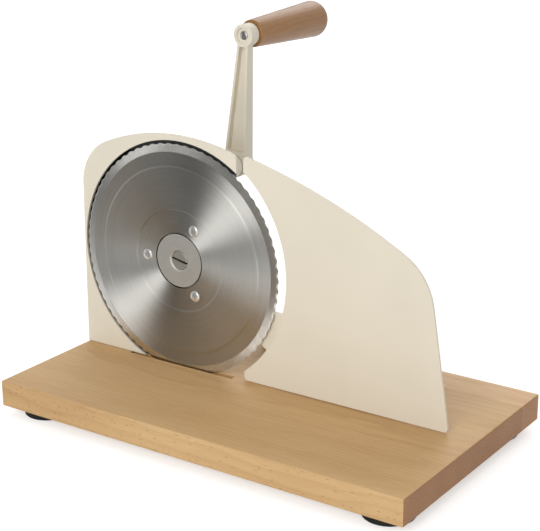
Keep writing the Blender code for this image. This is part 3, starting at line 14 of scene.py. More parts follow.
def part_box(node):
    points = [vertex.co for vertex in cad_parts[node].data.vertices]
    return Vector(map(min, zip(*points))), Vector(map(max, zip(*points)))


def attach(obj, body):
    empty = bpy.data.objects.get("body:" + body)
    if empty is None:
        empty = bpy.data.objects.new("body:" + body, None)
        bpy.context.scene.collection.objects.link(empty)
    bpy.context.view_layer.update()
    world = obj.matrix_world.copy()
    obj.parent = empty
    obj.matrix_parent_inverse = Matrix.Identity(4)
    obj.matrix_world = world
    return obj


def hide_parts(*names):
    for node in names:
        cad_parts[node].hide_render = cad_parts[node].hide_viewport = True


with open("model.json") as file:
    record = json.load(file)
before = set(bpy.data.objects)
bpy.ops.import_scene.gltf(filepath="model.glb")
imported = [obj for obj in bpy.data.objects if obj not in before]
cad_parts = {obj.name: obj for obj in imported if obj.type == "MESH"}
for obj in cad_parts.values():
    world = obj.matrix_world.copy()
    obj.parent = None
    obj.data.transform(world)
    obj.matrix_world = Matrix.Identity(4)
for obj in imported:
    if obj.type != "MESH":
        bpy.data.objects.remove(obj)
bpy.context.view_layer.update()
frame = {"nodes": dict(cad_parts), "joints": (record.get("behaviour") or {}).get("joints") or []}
nodes = frame["nodes"]
pivots = {joint["name"]: Vector(joint["pos_m"]) for joint in frame["joints"] if joint["type"] == "hinge"}


# Base board
# Three beech staves glued side by side, planed, sanded and oiled, with the grain along the board.
# Its right and left ends show end grain, and the front edge shows the short brown rays of beech.

STAVE_JOINTS = (-0.0707, 0.0383)
# The back stave's paler, bluer tint is partly its own wood and partly a painted sheen of the white
# surroundings.
STAVE_TONES_AND_SHEEN = ((1.0, 1.0, 1.0), (0.95, 0.93, 0.9), (1.14, 1.16, 1.3))
STAVE_SHIFTS = ((0.09, 0.03), (-0.13, 0.075))
BOARD_PALE = (217, 183, 131)
BOARD_DARK = (178, 133, 84)
BOARD_RAY = (148, 98, 58)
BOARD_PITH = (0.06, -0.055)
BOARD_END_SHADE = 0.75
RING_WIDTH = 0.0031
WOOD_RELIEF = 0.00006


def linear(colour):
    """A colour written as 0 to 255 in sRGB, as the shader wants it."""
    return tuple(((v / 255 + 0.055) / 1.055) ** 2.4 if v > 10 else v / 255 / 12.92 for v in colour)


def add_node(tree, kind, values=None, **options):
    """Adds a node; values gives its inputs a constant or joins them to another node's output."""
    node = tree.nodes.new(kind)
    for option, value in options.items():
        setattr(node, option, value)
    for key, value in (values or {}).items():
        if isinstance(value, bpy.types.NodeSocket):
            tree.links.new(value, node.inputs[key])
        else:
            node.inputs[key].default_value = value
    return node


def calculate(tree, operation, *values):
    node = add_node(tree, "ShaderNodeMath", dict(enumerate(values)), operation=operation)
    return node.outputs[0]


def vector_step(tree, operation, *values):
    node = add_node(tree, "ShaderNodeVectorMath", dict(enumerate(values)), operation=operation)
    return node.outputs["Value" if operation in ("LENGTH", "DOT_PRODUCT") else "Vector"]


def split(tree, vector):
    return add_node(tree, "ShaderNodeSeparateXYZ", {0: vector}).outputs


def blend_colours(tree, share, first, second, mode="MIX"):
    node = add_node(tree, "ShaderNodeMix", data_type="RGBA", blend_type=mode)
    for key, value in ((0, share), (6, first), (7, second)):
        if isinstance(value, bpy.types.NodeSocket):
            tree.links.new(value, node.inputs[key])
        else:
            node.inputs[key].default_value = value if key == 0 else (*value, 1)
    return node.outputs[2]


def noise(tree, place, scale, detail=2.0, rough=0.5):
    values = {"Vector": place, "Scale": scale, "Detail": detail, "Roughness": rough}
    return add_node(tree, "ShaderNodeTexNoise", values).outputs["Fac"]


def stretched(tree, place, sizes, offset=(0, 0, 0)):
    """Coordinates scaled apart along each axis, so that a pattern is drawn out."""
    values = {"Vector": place, "Scale": sizes, "Location": offset}
    return add_node(tree, "ShaderNodeMapping", values).outputs["Vector"]


def ramp(tree, value, low, high, first=0.0, second=1.0):
    """A value rescaled from low..high to first..second and held there."""
    values = {"Value": value, "From Min": low, "From Max": high, "To Min": first, "To Max": second}
    return add_node(tree, "ShaderNodeMapRange", values).outputs["Result"]


def new_finish(name, roughness, metallic=0.0):
    """A material with its Principled shader and its object coordinates."""
    material = bpy.data.materials.new(name)
    material.use_nodes = True
    tree = material.node_tree
    shader = tree.nodes["Principled BSDF"]
    shader.inputs["Roughness"].default_value = roughness
    shader.inputs["Metallic"].default_value = metallic
    place = add_node(tree, "ShaderNodeTexCoord").outputs["Object"]
    return material, tree, shader, place


def colour_between(tree, shader, share, first, second):
    tree.links.new(blend_colours(tree, share, first, second), shader.inputs["Base Color"])


def raise_bumps(tree, shader, height, depth):
    bump = add_node(tree, "ShaderNodeBump", {"Height": height, "Distance": depth})
    tree.links.new(bump.outputs["Normal"], shader.inputs["Normal"])
    return bump


def beech(name, pale, dark, ray, along, pith, roughness, shifts=()):
    """Beech with its grain along local X after the turn: soft rings, fibres and short dark rays."""
    material, tree, shader, place = new_finish(name, roughness)
    turned_place = add_node(tree, "ShaderNodeMapping", {"Vector": place, "Rotation": along})
    grain = turned_place.outputs["Vector"]
    apart = split(tree, grain)
    from_pith_y = calculate(tree, "SUBTRACT", apart[1], pith[0])
    from_pith_z = calculate(tree, "SUBTRACT", apart[2], pith[1])
    for joint, (aside, upward) in shifts:
        beyond = calculate(tree, "GREATER_THAN", apart[1], joint)
        from_pith_y = calculate(tree, "MULTIPLY_ADD", beyond, aside, from_pith_y)
        from_pith_z = calculate(tree, "MULTIPLY_ADD", beyond, upward, from_pith_z)
    across = add_node(tree, "ShaderNodeCombineXYZ", {"Y": from_pith_y, "Z": from_pith_z})
    radius = vector_step(tree, "LENGTH", across.outputs[0])
    wander = noise(tree, stretched(tree, grain, (5, 26, 26)), 1.0, 3.0)
    waved = calculate(tree, "MULTIPLY_ADD", wander, RING_WIDTH * 5, radius)
    ring = calculate(tree, "FRACT", calculate(tree, "DIVIDE", waved, RING_WIDTH))
    late = calculate(tree, "MULTIPLY", ramp(tree, ring, 0.35, 0.9), ramp(tree, ring, 1.0, 0.93))
    broad = noise(tree, stretched(tree, grain, (4, 30, 30)), 1.0, 2.0)
    fibre = noise(tree, stretched(tree, grain, (45, 1500, 1500)), 1.0, 3.0, 0.6)
    share = calculate(tree, "MULTIPLY_ADD", late, 0.13, calculate(tree, "MULTIPLY", broad, 0.55))
    share = calculate(tree, "MULTIPLY_ADD", fibre, 0.45, share)
    wood = blend_colours(tree, ramp(tree, share, 0.25, 0.95), linear(pale), linear(dark))
    cells = add_node(
        tree, "ShaderNodeTexVoronoi", {"Vector": stretched(tree, grain, (150, 620, 620)), "Scale": 1.0}
    )
    shade = add_node(tree, "ShaderNodeSeparateColor", {0: cells.outputs["Color"]}).outputs[0]
    chosen = ramp(tree, shade, 0.38, 0.5)
    fleck = calculate(tree, "MULTIPLY", ramp(tree, cells.outputs["Distance"], 0.3, 0.12), chosen)
    facing = add_node(tree, "ShaderNodeNewGeometry").outputs["Normal"]
    level = calculate(tree, "ABSOLUTE", split(tree, facing)[2])
    fleck = calculate(tree, "MULTIPLY", fleck, ramp(tree, level, 0.2, 0.9, 0.55, 0.16))
    wood = blend_colours(tree, fleck, wood, linear(ray))
    height = calculate(tree, "MULTIPLY_ADD", late, 0.4, fibre)
    raise_bumps(tree, shader, height, WOOD_RELIEF)
    spread = ramp(tree, fibre, 0.3, 0.7, roughness - 0.06, roughness + 0.08)
    tree.links.new(spread, shader.inputs["Roughness"])
    return material, tree, shader, wood, grain


def board_finish():
    shifts = list(zip(STAVE_JOINTS, STAVE_SHIFTS))
    made = beech("oiled_beech", BOARD_PALE, BOARD_DARK, BOARD_RAY, (0, 0, 0), BOARD_PITH, 0.52, shifts)
    material, tree, shader, wood, grain = made
    across = split(tree, grain)[1]
    # Each stave takes its own tint; the back stave's tint also carries a painted sheen.
    tint = STAVE_TONES_AND_SHEEN[0]
    for joint, following in zip(STAVE_JOINTS, STAVE_TONES_AND_SHEEN[1:]):
        beyond = calculate(tree, "GREATER_THAN", across, joint)
        tint = blend_colours(tree, beyond, tint, following)
    wood = blend_colours(tree, 1.0, wood, tint, "MULTIPLY")
    facing = add_node(tree, "ShaderNodeNewGeometry").outputs["Normal"]
    ends = calculate(tree, "ABSOLUTE", split(tree, facing)[0])
    share = ramp(tree, ends, 0.6, 0.9, 0.0, BOARD_END_SHADE)
    wood = blend_colours(tree, share, wood, linear(BOARD_DARK), "MULTIPLY")
    tree.links.new(wood, shader.inputs["Base Color"])
    return material


def refinish(material, *names):
    """Gives CAD nodes that keep their own shape a finish."""
    for name in names:
        nodes[name].data.materials.clear()
        nodes[name].data.materials.append(material)


refinish(board_finish(), "base_board")
board_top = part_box("base_board")[1][2]


# Feet and screws under the board
# Four black rubber feet with a ribbed side, each held up into the board by one slotted steel screw
# that sits in its hollow. Two longer screws come up through the board into the guide block.

FOOT_RADIUS = 0.0197
FOOT_HEIGHT = 0.008
FOOT_TAPER = 0.0012
FOOT_HOLLOW_RADIUS = 0.0065
FOOT_HOLLOW_DEPTH = 0.0045
FOOT_HOLE_RADIUS = 0.0023
FOOT_RIB_COUNT = 3
FOOT_RIB_DEPTH = 0.0005
FOOT_EDGE = 0.0006
RUBBER_RELIEF = 0.00004
METAL_RELIEF = 0.00001
RUBBER_BLACK = (16, 16, 17)
ZINC_GREY = (178, 181, 184)
SHARP_ANGLE = math.radians(34)
ROUND_SIDES = 96


def eased(points, reach, steps=4):
    """A profile with each inner corner drawn as a short curve."""
    result = [points[0]]
    for before, corner, after in zip(points, points[1:], points[2:]):
        corner = Vector(corner)
        into = Vector(before) - corner
        out = Vector(after) - corner
        start = corner + into.normalized() * min(reach, into.length * 0.45)
        end = corner + out.normalized() * min(reach, out.length * 0.45)
        for i in range(steps + 1):
            t = i / steps
            result.append(tuple(start * (1 - t) ** 2 + corner * 2 * t * (1 - t) + end * t**2))
    result.append(points[-1])
    return result


def made_object(name, shape):
    mesh = bpy.data.meshes.new(name)
    bmesh.ops.recalc_face_normals(shape, faces=shape.faces)
    shape.to_mesh(mesh)
    shape.free()
    item = bpy.data.objects.new(name, mesh)
    bpy.context.scene.collection.objects.link(item)
    return item


def turned(name, profile, centre=(0, 0, 0), sides=ROUND_SIDES, upright=False):
    """A profile of (radius, distance along) turned round the Y axis, or round Z if upright."""
    shape = bmesh.new()
    rings = []
    for radius, along in profile:
        count = sides if radius else 1
        ring = []
        for i in range(count):
            turn = math.tau * i / count
            ring.append(shape.verts.new((radius * math.cos(turn), along, radius * math.sin(turn))))
        rings.append(ring)
    pairs = list(zip(rings, rings[1:]))
    if profile[0][0] and profile[-1][0]:
        pairs.append((rings[-1], rings[0]))
    for first, second in pairs:
        for i in range(sides):
            j = (i + 1) % sides
            corners = (first[i % len(first)], first[j % len(first)])
            corners += (second[j % len(second)], second[i % len(second)])
            shape.faces.new(list(dict.fromkeys(corners)))
    if upright:
        bmesh.ops.rotate(shape, verts=shape.verts, matrix=Matrix.Rotation(math.pi / 2, 3, "X"))
    bmesh.ops.translate(shape, verts=shape.verts, vec=centre)
    return made_object(name, shape)


def settled(item):
    """Keeps what a piece's modifiers make as its plain mesh."""
    view = bpy.context.evaluated_depsgraph_get()
    mesh = bpy.data.meshes.new_from_object(
        item.evaluated_get(view), preserve_all_data_layers=True, depsgraph=view
    )
    item.modifiers.clear()
    item.data = mesh
    return item


def dress(item, material, body, slot, *replaced, smooth=True):
    """Finishes a piece, hangs it on the body it moves with and hides the CAD nodes it stands for."""
    item.data.materials.clear()
    item.data.materials.append(material)
    if smooth:
        item.data.shade_smooth()
        item.data.set_sharp_from_angle(angle=SHARP_ANGLE)
    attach(item, body)
    if replaced:
        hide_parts(*replaced)
    return item


def new_tree(name, inputs):
    """A Geometry Nodes tree: a mesh comes in, and a mesh goes out in one finish."""
    tree = bpy.data.node_groups.new(name, "GeometryNodeTree")
    sockets = tree.interface
    sockets.new_socket("Geometry", in_out="INPUT", socket_type="NodeSocketGeometry")
    for label, kind in inputs.items():
        sockets.new_socket(label, in_out="INPUT", socket_type="NodeSocket" + kind)
    sockets.new_socket("Finish", in_out="INPUT", socket_type="NodeSocketMaterial")
    sockets.new_socket("Geometry", in_out="OUTPUT", socket_type="NodeSocketGeometry")
    return tree, tree.nodes.new("NodeGroupInput").outputs


def end_tree(tree, entry, geometry):
    real = add_node(tree, "GeometryNodeRealizeInstances", {"Geometry": geometry})
    painted = add_node(
        tree, "GeometryNodeSetMaterial", {"Geometry": real.outputs[0], "Material": entry["Finish"]}
    )
    add_node(tree, "NodeGroupOutput", {"Geometry": painted.outputs[0]})


def grown(item, tree, **values):
    """Runs a tree on a piece with these inputs and keeps the result."""
    step = item.modifiers.new(tree.name, "NODES")
    step.node_group = tree
    for socket in tree.interface.items_tree:
        if socket.in_out == "INPUT" and socket.name in values:
            step[socket.identifier] = values[socket.name]
    return settled(item)


def rubber_finish():
    material, tree, shader, place = new_finish("black_rubber", 0.72)
    grain = noise(tree, place, 900.0, 3.0)
    dust = noise(tree, place, 60.0, 2.0)
    black = linear(RUBBER_BLACK)
    worn = tuple(v * 2.2 for v in black)
    share = ramp(tree, dust, 0.45, 0.75, 0.0, 0.5)
    colour_between(tree, shader, share, black, worn)
    raise_bumps(tree, shader, grain, RUBBER_RELIEF)
    return material


def metal_finish(name, colour, roughness, scale=1400.0, worn=0.82):
    """Plated or polished metal with a fine mottle and a few dull places."""
    material, tree, shader, place = new_finish(name, roughness, 1.0)
    grain = noise(tree, place, scale, 3.0)
    patch = noise(tree, place, 130.0, 2.0)
    full = linear(colour)
    dull = tuple(v * worn for v in full)
    colour_between(tree, shader, ramp(tree, patch, 0.4, 0.7), full, dull)
    spread = ramp(tree, grain, 0.3, 0.7, roughness - 0.05, roughness + 0.09)
    tree.links.new(spread, shader.inputs["Roughness"])
    raise_bumps(tree, shader, grain, METAL_RELIEF)
    return material


def copied(tree, entry, points, piece, **turns):
    """Ends a tree with copies of a piece on these points."""
    values = {"Points": points, "Instance": piece, **turns}
    end_tree(tree, entry, add_node(tree, "GeometryNodeInstanceOnPoints", values).outputs[0])
    return tree


def foot_tree():
    """Four copies of a foot on the corners of a rectangle."""
    sizes = {"Length": "Float", "Depth": "Float", "Middle": "Vector"}
    tree, entry = new_tree("feet_at_corners", sizes)
    corners = add_node(
        tree,
        "GeometryNodeMeshGrid",
        {"Size X": entry["Length"], "Size Y": entry["Depth"], "Vertices X": 2, "Vertices Y": 2},
    )
    moved = add_node(
        tree, "GeometryNodeSetPosition", {"Geometry": corners.outputs["Mesh"], "Offset": entry["Middle"]}
    )
    return copied(tree, entry, moved.outputs[0], entry["Geometry"])


def foot_profile():
    """The foot from its hole at the top, round its ribbed side, to the hollow underneath."""
    profile = [(FOOT_HOLE_RADIUS, FOOT_HEIGHT), (FOOT_RADIUS - FOOT_TAPER, FOOT_HEIGHT)]
    rib = FOOT_HEIGHT * 0.7 / FOOT_RIB_COUNT
    for i in range(FOOT_RIB_COUNT):
        top = FOOT_HEIGHT * 0.86 - i * rib
        slope = FOOT_TAPER * (1 - top / FOOT_HEIGHT)
        outer = FOOT_RADIUS - FOOT_TAPER + slope
        inner = outer - FOOT_RIB_DEPTH
        profile += [(outer, top), (inner, top - rib * 0.3)]
        profile += [(inner, top - rib * 0.6), (outer, top - rib * 0.8)]
    profile += [
        (FOOT_RADIUS - FOOT_TAPER * 0.1, FOOT_HEIGHT * 0.12),
        (FOOT_RADIUS - FOOT_TAPER, 0),
        (FOOT_HOLLOW_RADIUS, 0),
        (FOOT_HOLLOW_RADIUS, FOOT_HOLLOW_DEPTH),
        (FOOT_HOLE_RADIUS, FOOT_HOLLOW_DEPTH),
    ]
    return profile


rubber = rubber_finish()
zinc = metal_finish("zinc_plate", ZINC_GREY, 0.36)
left_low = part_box("foot_front_left")[0]
right_low, right_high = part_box("foot_rear_right")
feet = turned("rubber_feet", eased(foot_profile(), FOOT_EDGE, 2), upright=True)
feet = grown(
    feet,
    foot_tree(),
    Length=right_low[0] - left_low[0],
    Depth=right_low[1] - left_low[1],
    Middle=((left_low[0] + right_high[0]) / 2, (left_low[1] + right_high[1]) / 2, 0),
    Finish=rubber,
)
corner_names = ("front_left", "front_right", "rear_left", "rear_right")
dress(feet, rubber, "stand", "black_rubber", *["foot_" + name for name in corner_names])
refinish(zinc, *["foot_screw_" + name for name in corner_names], "block_screw_left", "block_screw_right")


# Wall beside the blade
# A sheet of steel cut round the blade, arched along the top and powder coated cream. Two studs
# welded to its back carry the gear housing.

CREAM = (226, 218, 200)
WALL_EDGE = 0.0006
COAT_RELIEF = 0.00002
MERGE_REACH = 0.000002
FACET_ANGLE = math.radians(0.6)


def cream_finish():
    material, tree, shader, place = new_finish("cream_coat", 0.44)
    peel = noise(tree, place, 950.0, 2.0)
    cloud = noise(tree, place, 14.0, 2.0)
    full = linear(CREAM)
    deep = tuple(v * 0.965 for v in full)
    colour_between(tree, shader, ramp(tree, cloud, 0.35, 0.65), full, deep)
    spread = ramp(tree, peel, 0.3, 0.7, 0.4, 0.5)
    tree.links.new(spread, shader.inputs["Roughness"])
    raise_bumps(tree, shader, peel, COAT_RELIEF)
    return material


def softened(name, node, width, segments):
    """A CAD node's shape with its facets merged and its sharp edges rounded."""
    shape = bmesh.new()
    shape.from_mesh(nodes[node].data)
    bmesh.ops.remove_doubles(shape, verts=shape.verts, dist=MERGE_REACH)
    bmesh.ops.dissolve_limit(shape, verts=shape.verts, edges=shape.edges, angle_limit=FACET_ANGLE)
    mesh = bpy.data.meshes.new(name)
    shape.to_mesh(mesh)
    shape.free()
    item = bpy.data.objects.new(name, mesh)
    bpy.context.scene.collection.objects.link(item)
    mesh.materials.clear()
    mesh.shade_smooth()
    edges = item.modifiers.new("edges", "BEVEL")
    edges.width = width
    edges.segments = segments
    edges.limit_method = "ANGLE"
    edges.angle_limit = SHARP_ANGLE
    edges.use_clamp_overlap = True
    level = item.modifiers.new("level_faces", "WEIGHTED_NORMAL")
    level.keep_sharp = True
    return settled(item)


def dress_softened(name, node, width, material, body, slot, segments=3):
    dress(softened(name, node, width, segments), material, body, slot, node, smooth=False)


cream = cream_finish()
dress_softened("coated_wall", "wall_plate", WALL_EDGE, cream, "stand", "cream_coat")


# Housing behind the wall
# One moulding in black plastic that covers the gears, carries the blade's long bearing and stands
# on the board, with its inner screws out of sight.

HOUSING_EDGE = 0.0007
PLASTIC_BLACK = (46, 46, 48)
PLASTIC_RELIEF = 0.00005


def plastic_finish(name, colour, roughness):
    """Moulded plastic with the fine spark grain of its mould."""
    material, tree, shader, place = new_finish(name, roughness)
    spark = noise(tree, place, 1600.0, 4.0, 0.7)
    cloud = noise(tree, place, 25.0, 2.0)
    full = linear(colour)
    pale = tuple(v * 1.18 for v in full)
    colour_between(tree, shader, cloud, full, pale)
    raise_bumps(tree, shader, spark, PLASTIC_RELIEF)
    return material


black_plastic = plastic_finish("black_moulding", PLASTIC_BLACK, 0.52)
dress_softened("gear_housing", "rear_housing", HOUSING_EDGE, black_plastic, "stand", "dark_plastic")
refinish(zinc, "housing_screw_1", "housing_screw_2", "housing_screw_3")


# Crank tube
# A turned and coated tube whose flange is screwed to the housing by three small screws. It holds
# the crank's shaft clear of the loaf and of the stop plate's carriage.

TUBE_FLANGE_RADIUS = 0.0205
TUBE_FLANGE_THICKNESS = 0.003
TUBE_BASE_RADIUS = 0.0132
TUBE_END_RADIUS = 0.01
TUBE_BORE_RADIUS = 0.0083
TUBE_SPIGOT_RADIUS = 0.0101
TUBE_SCREW_CIRCLE = 0.0168
TUBE_SCREW_HEAD = 0.0027
TUBE_SCREW_RISE = 0.0017
TUBE_SCREW_COUNT = 3
TUBE_SCREW_REACH = 0.004
TUBE_SCREW_TWIST = 0.9
TUBE_EDGE = 0.0008
SEAT_GAP = 0.0003
CUT_OVERRUN = 0.001
SCREW_SLOT_WIDTH = 0.0007
SCREW_SLOT_DEPTH = 0.0008


def block(low, high):
    shape = bmesh.new()
    bmesh.ops.create_cube(shape, size=1)
    for point in shape.verts:
        point.co = [a if v < 0 else b for v, a, b in zip(point.co, low, high)]
    return shape


def carved(item, cutter, operation="DIFFERENCE"):
    """Cuts a shape out of a piece, or joins it, and keeps the result."""
    helper = made_object("cutter", cutter) if isinstance(cutter, bmesh.types.BMesh) else cutter
    step = item.modifiers.new("cut", "BOOLEAN")
    step.operation = operation
    step.solver = "EXACT"
    step.object = helper
    settled(item)
    bpy.data.objects.remove(helper)
    return item


def screw_head(name, radius, rise, slot_width, slot_depth, reach):
    """A domed slotted head that stands towards +Y, on a short shank."""
    profile = [(0, rise), (radius * 0.5, rise * 0.94), (radius * 0.85, rise * 0.62), (radius, rise * 0.2)]
    profile += [(radius, 0), (radius * 0.5, 0), (radius * 0.5, -reach), (0, -reach)]
    head = turned(name, eased(profile, radius * 0.12, 2), sides=40)
    half = slot_width / 2
    slot = block((-radius * 1.2, rise - slot_depth, -half), (radius * 1.2, rise * 1.5, half))
    return carved(head, slot)


def circle_tree():
    """Copies of a piece on a circle round a line along Y, each turned a little."""
    sizes = {"Count": "Int", "Radius": "Float", "Start": "Float", "Middle": "Vector", "Twist": "Float"}
    tree, entry = new_tree("pieces_on_circle", sizes)
    dots = add_node(tree, "GeometryNodeMeshCircle", {"Vertices": entry["Count"], "Radius": entry["Radius"]})
    first = add_node(tree, "ShaderNodeCombineXYZ", {"Z": entry["Start"]}).outputs[0]
    spun = add_node(tree, "GeometryNodeTransform", {"Geometry": dots.outputs[0], "Rotation": first})
    raised = add_node(
        tree,
        "GeometryNodeTransform",
        {"Geometry": spun.outputs[0], "Rotation": (math.pi / 2, 0, 0), "Translation": entry["Middle"]},
    )
    number = tree.nodes.new("GeometryNodeInputIndex").outputs[0]
    twist = add_node(tree, "ShaderNodeMath", {0: number, 1: entry["Twist"]}, operation="MULTIPLY")
    turn = add_node(tree, "ShaderNodeCombineXYZ", {"Y": twist.outputs[0]})
    return copied(tree, entry, raised.outputs[0], entry["Geometry"], Rotation=turn.outputs[0])


on_circle = circle_tree()
crank_axis = pivots["crank_turn"]
tube_low, tube_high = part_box("crank_tube")
flange_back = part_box("tube_screw_1")[1][1] - TUBE_SCREW_RISE - SEAT_GAP
tube_profile = [
    (TUBE_BORE_RADIUS, tube_low[1]),
    (TUBE_SPIGOT_RADIUS, tube_low[1]),
    (TUBE_SPIGOT_RADIUS, flange_back - TUBE_FLANGE_THICKNESS),
    (TUBE_FLANGE_RADIUS, flange_back - TUBE_FLANGE_THICKNESS),
    (TUBE_FLANGE_RADIUS, flange_back),
    (TUBE_BASE_RADIUS, flange_back),
    (TUBE_END_RADIUS, tube_high[1]),
    (TUBE_BORE_RADIUS, tube_high[1]),
]
middle = (crank_axis.x, 0, crank_axis.z)
crank_tube = turned("coated_crank_tube", eased(tube_profile, TUBE_EDGE), middle)
dress(crank_tube, cream, "stand", "cream_coat", "crank_tube")
tube_screw = screw_head(
    "tube_screws",
    TUBE_SCREW_HEAD,
    TUBE_SCREW_RISE,
    SCREW_SLOT_WIDTH,
    SCREW_SLOT_DEPTH,
    TUBE_SCREW_REACH,
)
tube_screw = grown(
    tube_screw,
    on_circle,
    Count=TUBE_SCREW_COUNT,
    Radius=TUBE_SCREW_CIRCLE,
    Start=math.pi / 2,
    Middle=(crank_axis.x, flange_back + SEAT_GAP, crank_axis.z),
    Twist=TUBE_SCREW_TWIST,
    Finish=zinc,
)
dress(tube_screw, zinc, "stand", "zinc_steel", *[f"tube_screw_{i + 1}" for i in range(TUBE_SCREW_COUNT)])


# Bearings
# Four flanged bushes of oiled bronze, two for the blade's spindle and two for the crank's shaft.

BRONZE = (184, 140, 84)
bronze = metal_finish("oiled_bronze", BRONZE, 0.34, 1100.0, 0.7)
for name in ("blade_bush", "crank_bush"):
    refinish(bronze, name + "_front", name + "_rear")


# Blade
# A pressed disc of stainless steel, ground round its axle on the face and across its bevel, with
# fine waves ground into the edge. Its ring stands forward, and its centre is sunk and bored for the hub.

BLADE_RADIUS = 0.0952
BLADE_WAVES = 72
WAVE_DEPTH = 0.0009
WAVE_REACH = 0.0022
WAVE_GRIND = 0.0001
EDGE_LAND = 0.0003
BLADE_THICKNESS = 0.0018
BLADE_FRONT = (
    (0.0883, -0.0006),
    (0.0775, -0.0007),
    (0.0761, -0.0016),
    (0.0427, -0.0018),
    (0.0415, -0.0012),
    (0.0228, -0.0012),
)
STEEL = (224, 222, 216)
BEVEL_START = 0.0883
BEVEL_POLISH = 0.16
GROOVE_RADIUS = 0.0225
GAP_SHADE_HALF = 0.0006
SHADE_EDGE = 0.0002
GRIND_RELIEF = 0.000012
FACE_EASE = 0.0005
BEVEL_STEPS = 7
# Black painted shade for the gap round the hub and for the centre screw's slot.
PAINTED_SHADE_BLACK = (24, 22, 20)
BLADE_STEPS_PER_WAVE = 10

wall_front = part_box("wall_plate")[0][1]
blade_axis = pivots["blade_spin"]


def steel_finish(name, centre, roughness, anisotropy, bevel_start):
    """Steel ground in rings round an axle and across the rings on the bevel, with shade painted black into
    the gap round the hub.
    """
    material, tree, shader, place = new_finish(name, roughness, 1.0)
    local = vector_step(tree, "SUBTRACT", place, tuple(centre))
    flat = vector_step(tree, "MULTIPLY", local, (1, 0, 1))
    radius = vector_step(tree, "LENGTH", flat)
    out = vector_step(tree, "NORMALIZE", flat)
    apart = split(tree, out)
    bevel = ramp(tree, radius, bevel_start - SHADE_EDGE, bevel_start + SHADE_EDGE)
    patterns = []
    for round_scale, out_scale in ((1.6, 5200), (190, 160)):
        scaled = {
            "X": calculate(tree, "MULTIPLY", apart[0], round_scale),
            "Y": calculate(tree, "MULTIPLY", apart[2], round_scale),
            "Z": calculate(tree, "MULTIPLY", radius, out_scale),
        }
        patterns.append(add_node(tree, "ShaderNodeCombineXYZ", scaled).outputs[0])
    rings, spokes = patterns
    ring_marks = noise(tree, rings, 1.0, 3.0, 0.65)
    spoke_marks = noise(tree, spokes, 1.0, 2.0, 0.6)
    wide_rings = noise(tree, stretched(tree, rings, (0.5, 0.5, 0.08)), 1.0, 2.0)
    marks = add_node(tree, "ShaderNodeMix", {0: bevel, 2: ring_marks, 3: spoke_marks}).outputs[0]
    full = linear(STEEL)
    pale = tuple(min(1.0, v * 1.1) for v in full)
    deep = tuple(v * 0.88 for v in full)
    tone = blend_colours(tree, ramp(tree, marks, 0.3, 0.7), deep, pale)
    tone = blend_colours(tree, ramp(tree, wide_rings, 0.35, 0.65, 0.0, 0.22), tone, deep)
    # Shade painted black into the narrow gap between the hub and the blade's bore.
    aside = calculate(tree, "ABSOLUTE", calculate(tree, "SUBTRACT", radius, GROOVE_RADIUS))
    gap_shade = ramp(tree, aside, GAP_SHADE_HALF, GAP_SHADE_HALF - SHADE_EDGE)
    tone = blend_colours(tree, gap_shade, tone, linear(PAINTED_SHADE_BLACK))
    tree.links.new(tone, shader.inputs["Base Color"])
    spread = ramp(tree, marks, 0.3, 0.7, roughness - 0.05, roughness + 0.07)
    spread = calculate(tree, "MULTIPLY_ADD", bevel, -BEVEL_POLISH, spread)
    tree.links.new(spread, shader.inputs["Roughness"])
    raise_bumps(tree, shader, marks, GRIND_RELIEF)
    round_way = vector_step(tree, "CROSS_PRODUCT", out, (0, 1, 0))
    way = add_node(tree, "ShaderNodeMix", {0: bevel, 4: out, 5: round_way}, data_type="VECTOR")
    turned_way = add_node(
        tree,
        "ShaderNodeVectorTransform",
        {"Vector": way.outputs[1]},
        vector_type="VECTOR",
        convert_from="OBJECT",
        convert_to="WORLD",
    )
    tree.links.new(turned_way.outputs[0], shader.inputs["Tangent"])
    shader.inputs["Anisotropic"].default_value = anisotropy
    return material


def wave_tree():
    """Pulls the rim of a disc into waves and grinds each hollow back along Y."""
    sizes = {"Centre": "Vector", "Radius": "Float", "Reach": "Float"}
    sizes.update({"Waves": "Float", "Depth": "Float", "Grind": "Float"})
    tree, entry = new_tree("waved_edge", sizes)
    place = tree.nodes.new("GeometryNodeInputPosition").outputs[0]
    local = vector_step(tree, "SUBTRACT", place, entry["Centre"])
    flat = vector_step(tree, "MULTIPLY", local, (1, 0, 1))
    radius = vector_step(tree, "LENGTH", flat)
    out = vector_step(tree, "NORMALIZE", flat)
    apart = split(tree, flat)
    angle = calculate(tree, "ARCTAN2", apart[2], apart[0])
    swing = calculate(tree, "COSINE", calculate(tree, "MULTIPLY", angle, entry["Waves"]))
    hollow = calculate(tree, "MULTIPLY_ADD", swing, -0.5, 0.5)
    start = calculate(tree, "SUBTRACT", entry["Radius"], entry["Reach"])
    near = ramp(tree, radius, start, entry["Radius"])
    cut = calculate(tree, "MULTIPLY", calculate(tree, "MULTIPLY", near, near), hollow)
    inward = calculate(tree, "MULTIPLY", calculate(tree, "MULTIPLY", cut, entry["Depth"]), -1)
    move = add_node(tree, "ShaderNodeVectorMath", {0: out, "Scale": inward}, operation="SCALE").outputs[0]
    back = add_node(tree, "ShaderNodeCombineXYZ", {"Y": calculate(tree, "MULTIPLY", cut, entry["Grind"])})
    move = vector_step(tree, "ADD", move, back.outputs[0])
    moved = add_node(tree, "GeometryNodeSetPosition", {"Geometry": entry["Geometry"], "Offset": move})
    end_tree(tree, entry, moved.outputs[0])
    return tree


def blade_profile():
    """The face from its edge to its bore, then the back from the bore to the edge."""
    bevel = [(BLADE_RADIUS, 0)]
    for i in range(1, BEVEL_STEPS):
        share = i / BEVEL_STEPS
        radius = BLADE_RADIUS + (BLADE_FRONT[0][0] - BLADE_RADIUS) * share
        bevel.append((radius, BLADE_FRONT[0][1] * share))
    face = eased([bevel[-1], *BLADE_FRONT], FACE_EASE)[1:]
    back = [(radius, y + BLADE_THICKNESS) for radius, y in reversed(BLADE_FRONT)]
    return bevel + face + back + [(BLADE_RADIUS, EDGE_LAND)]


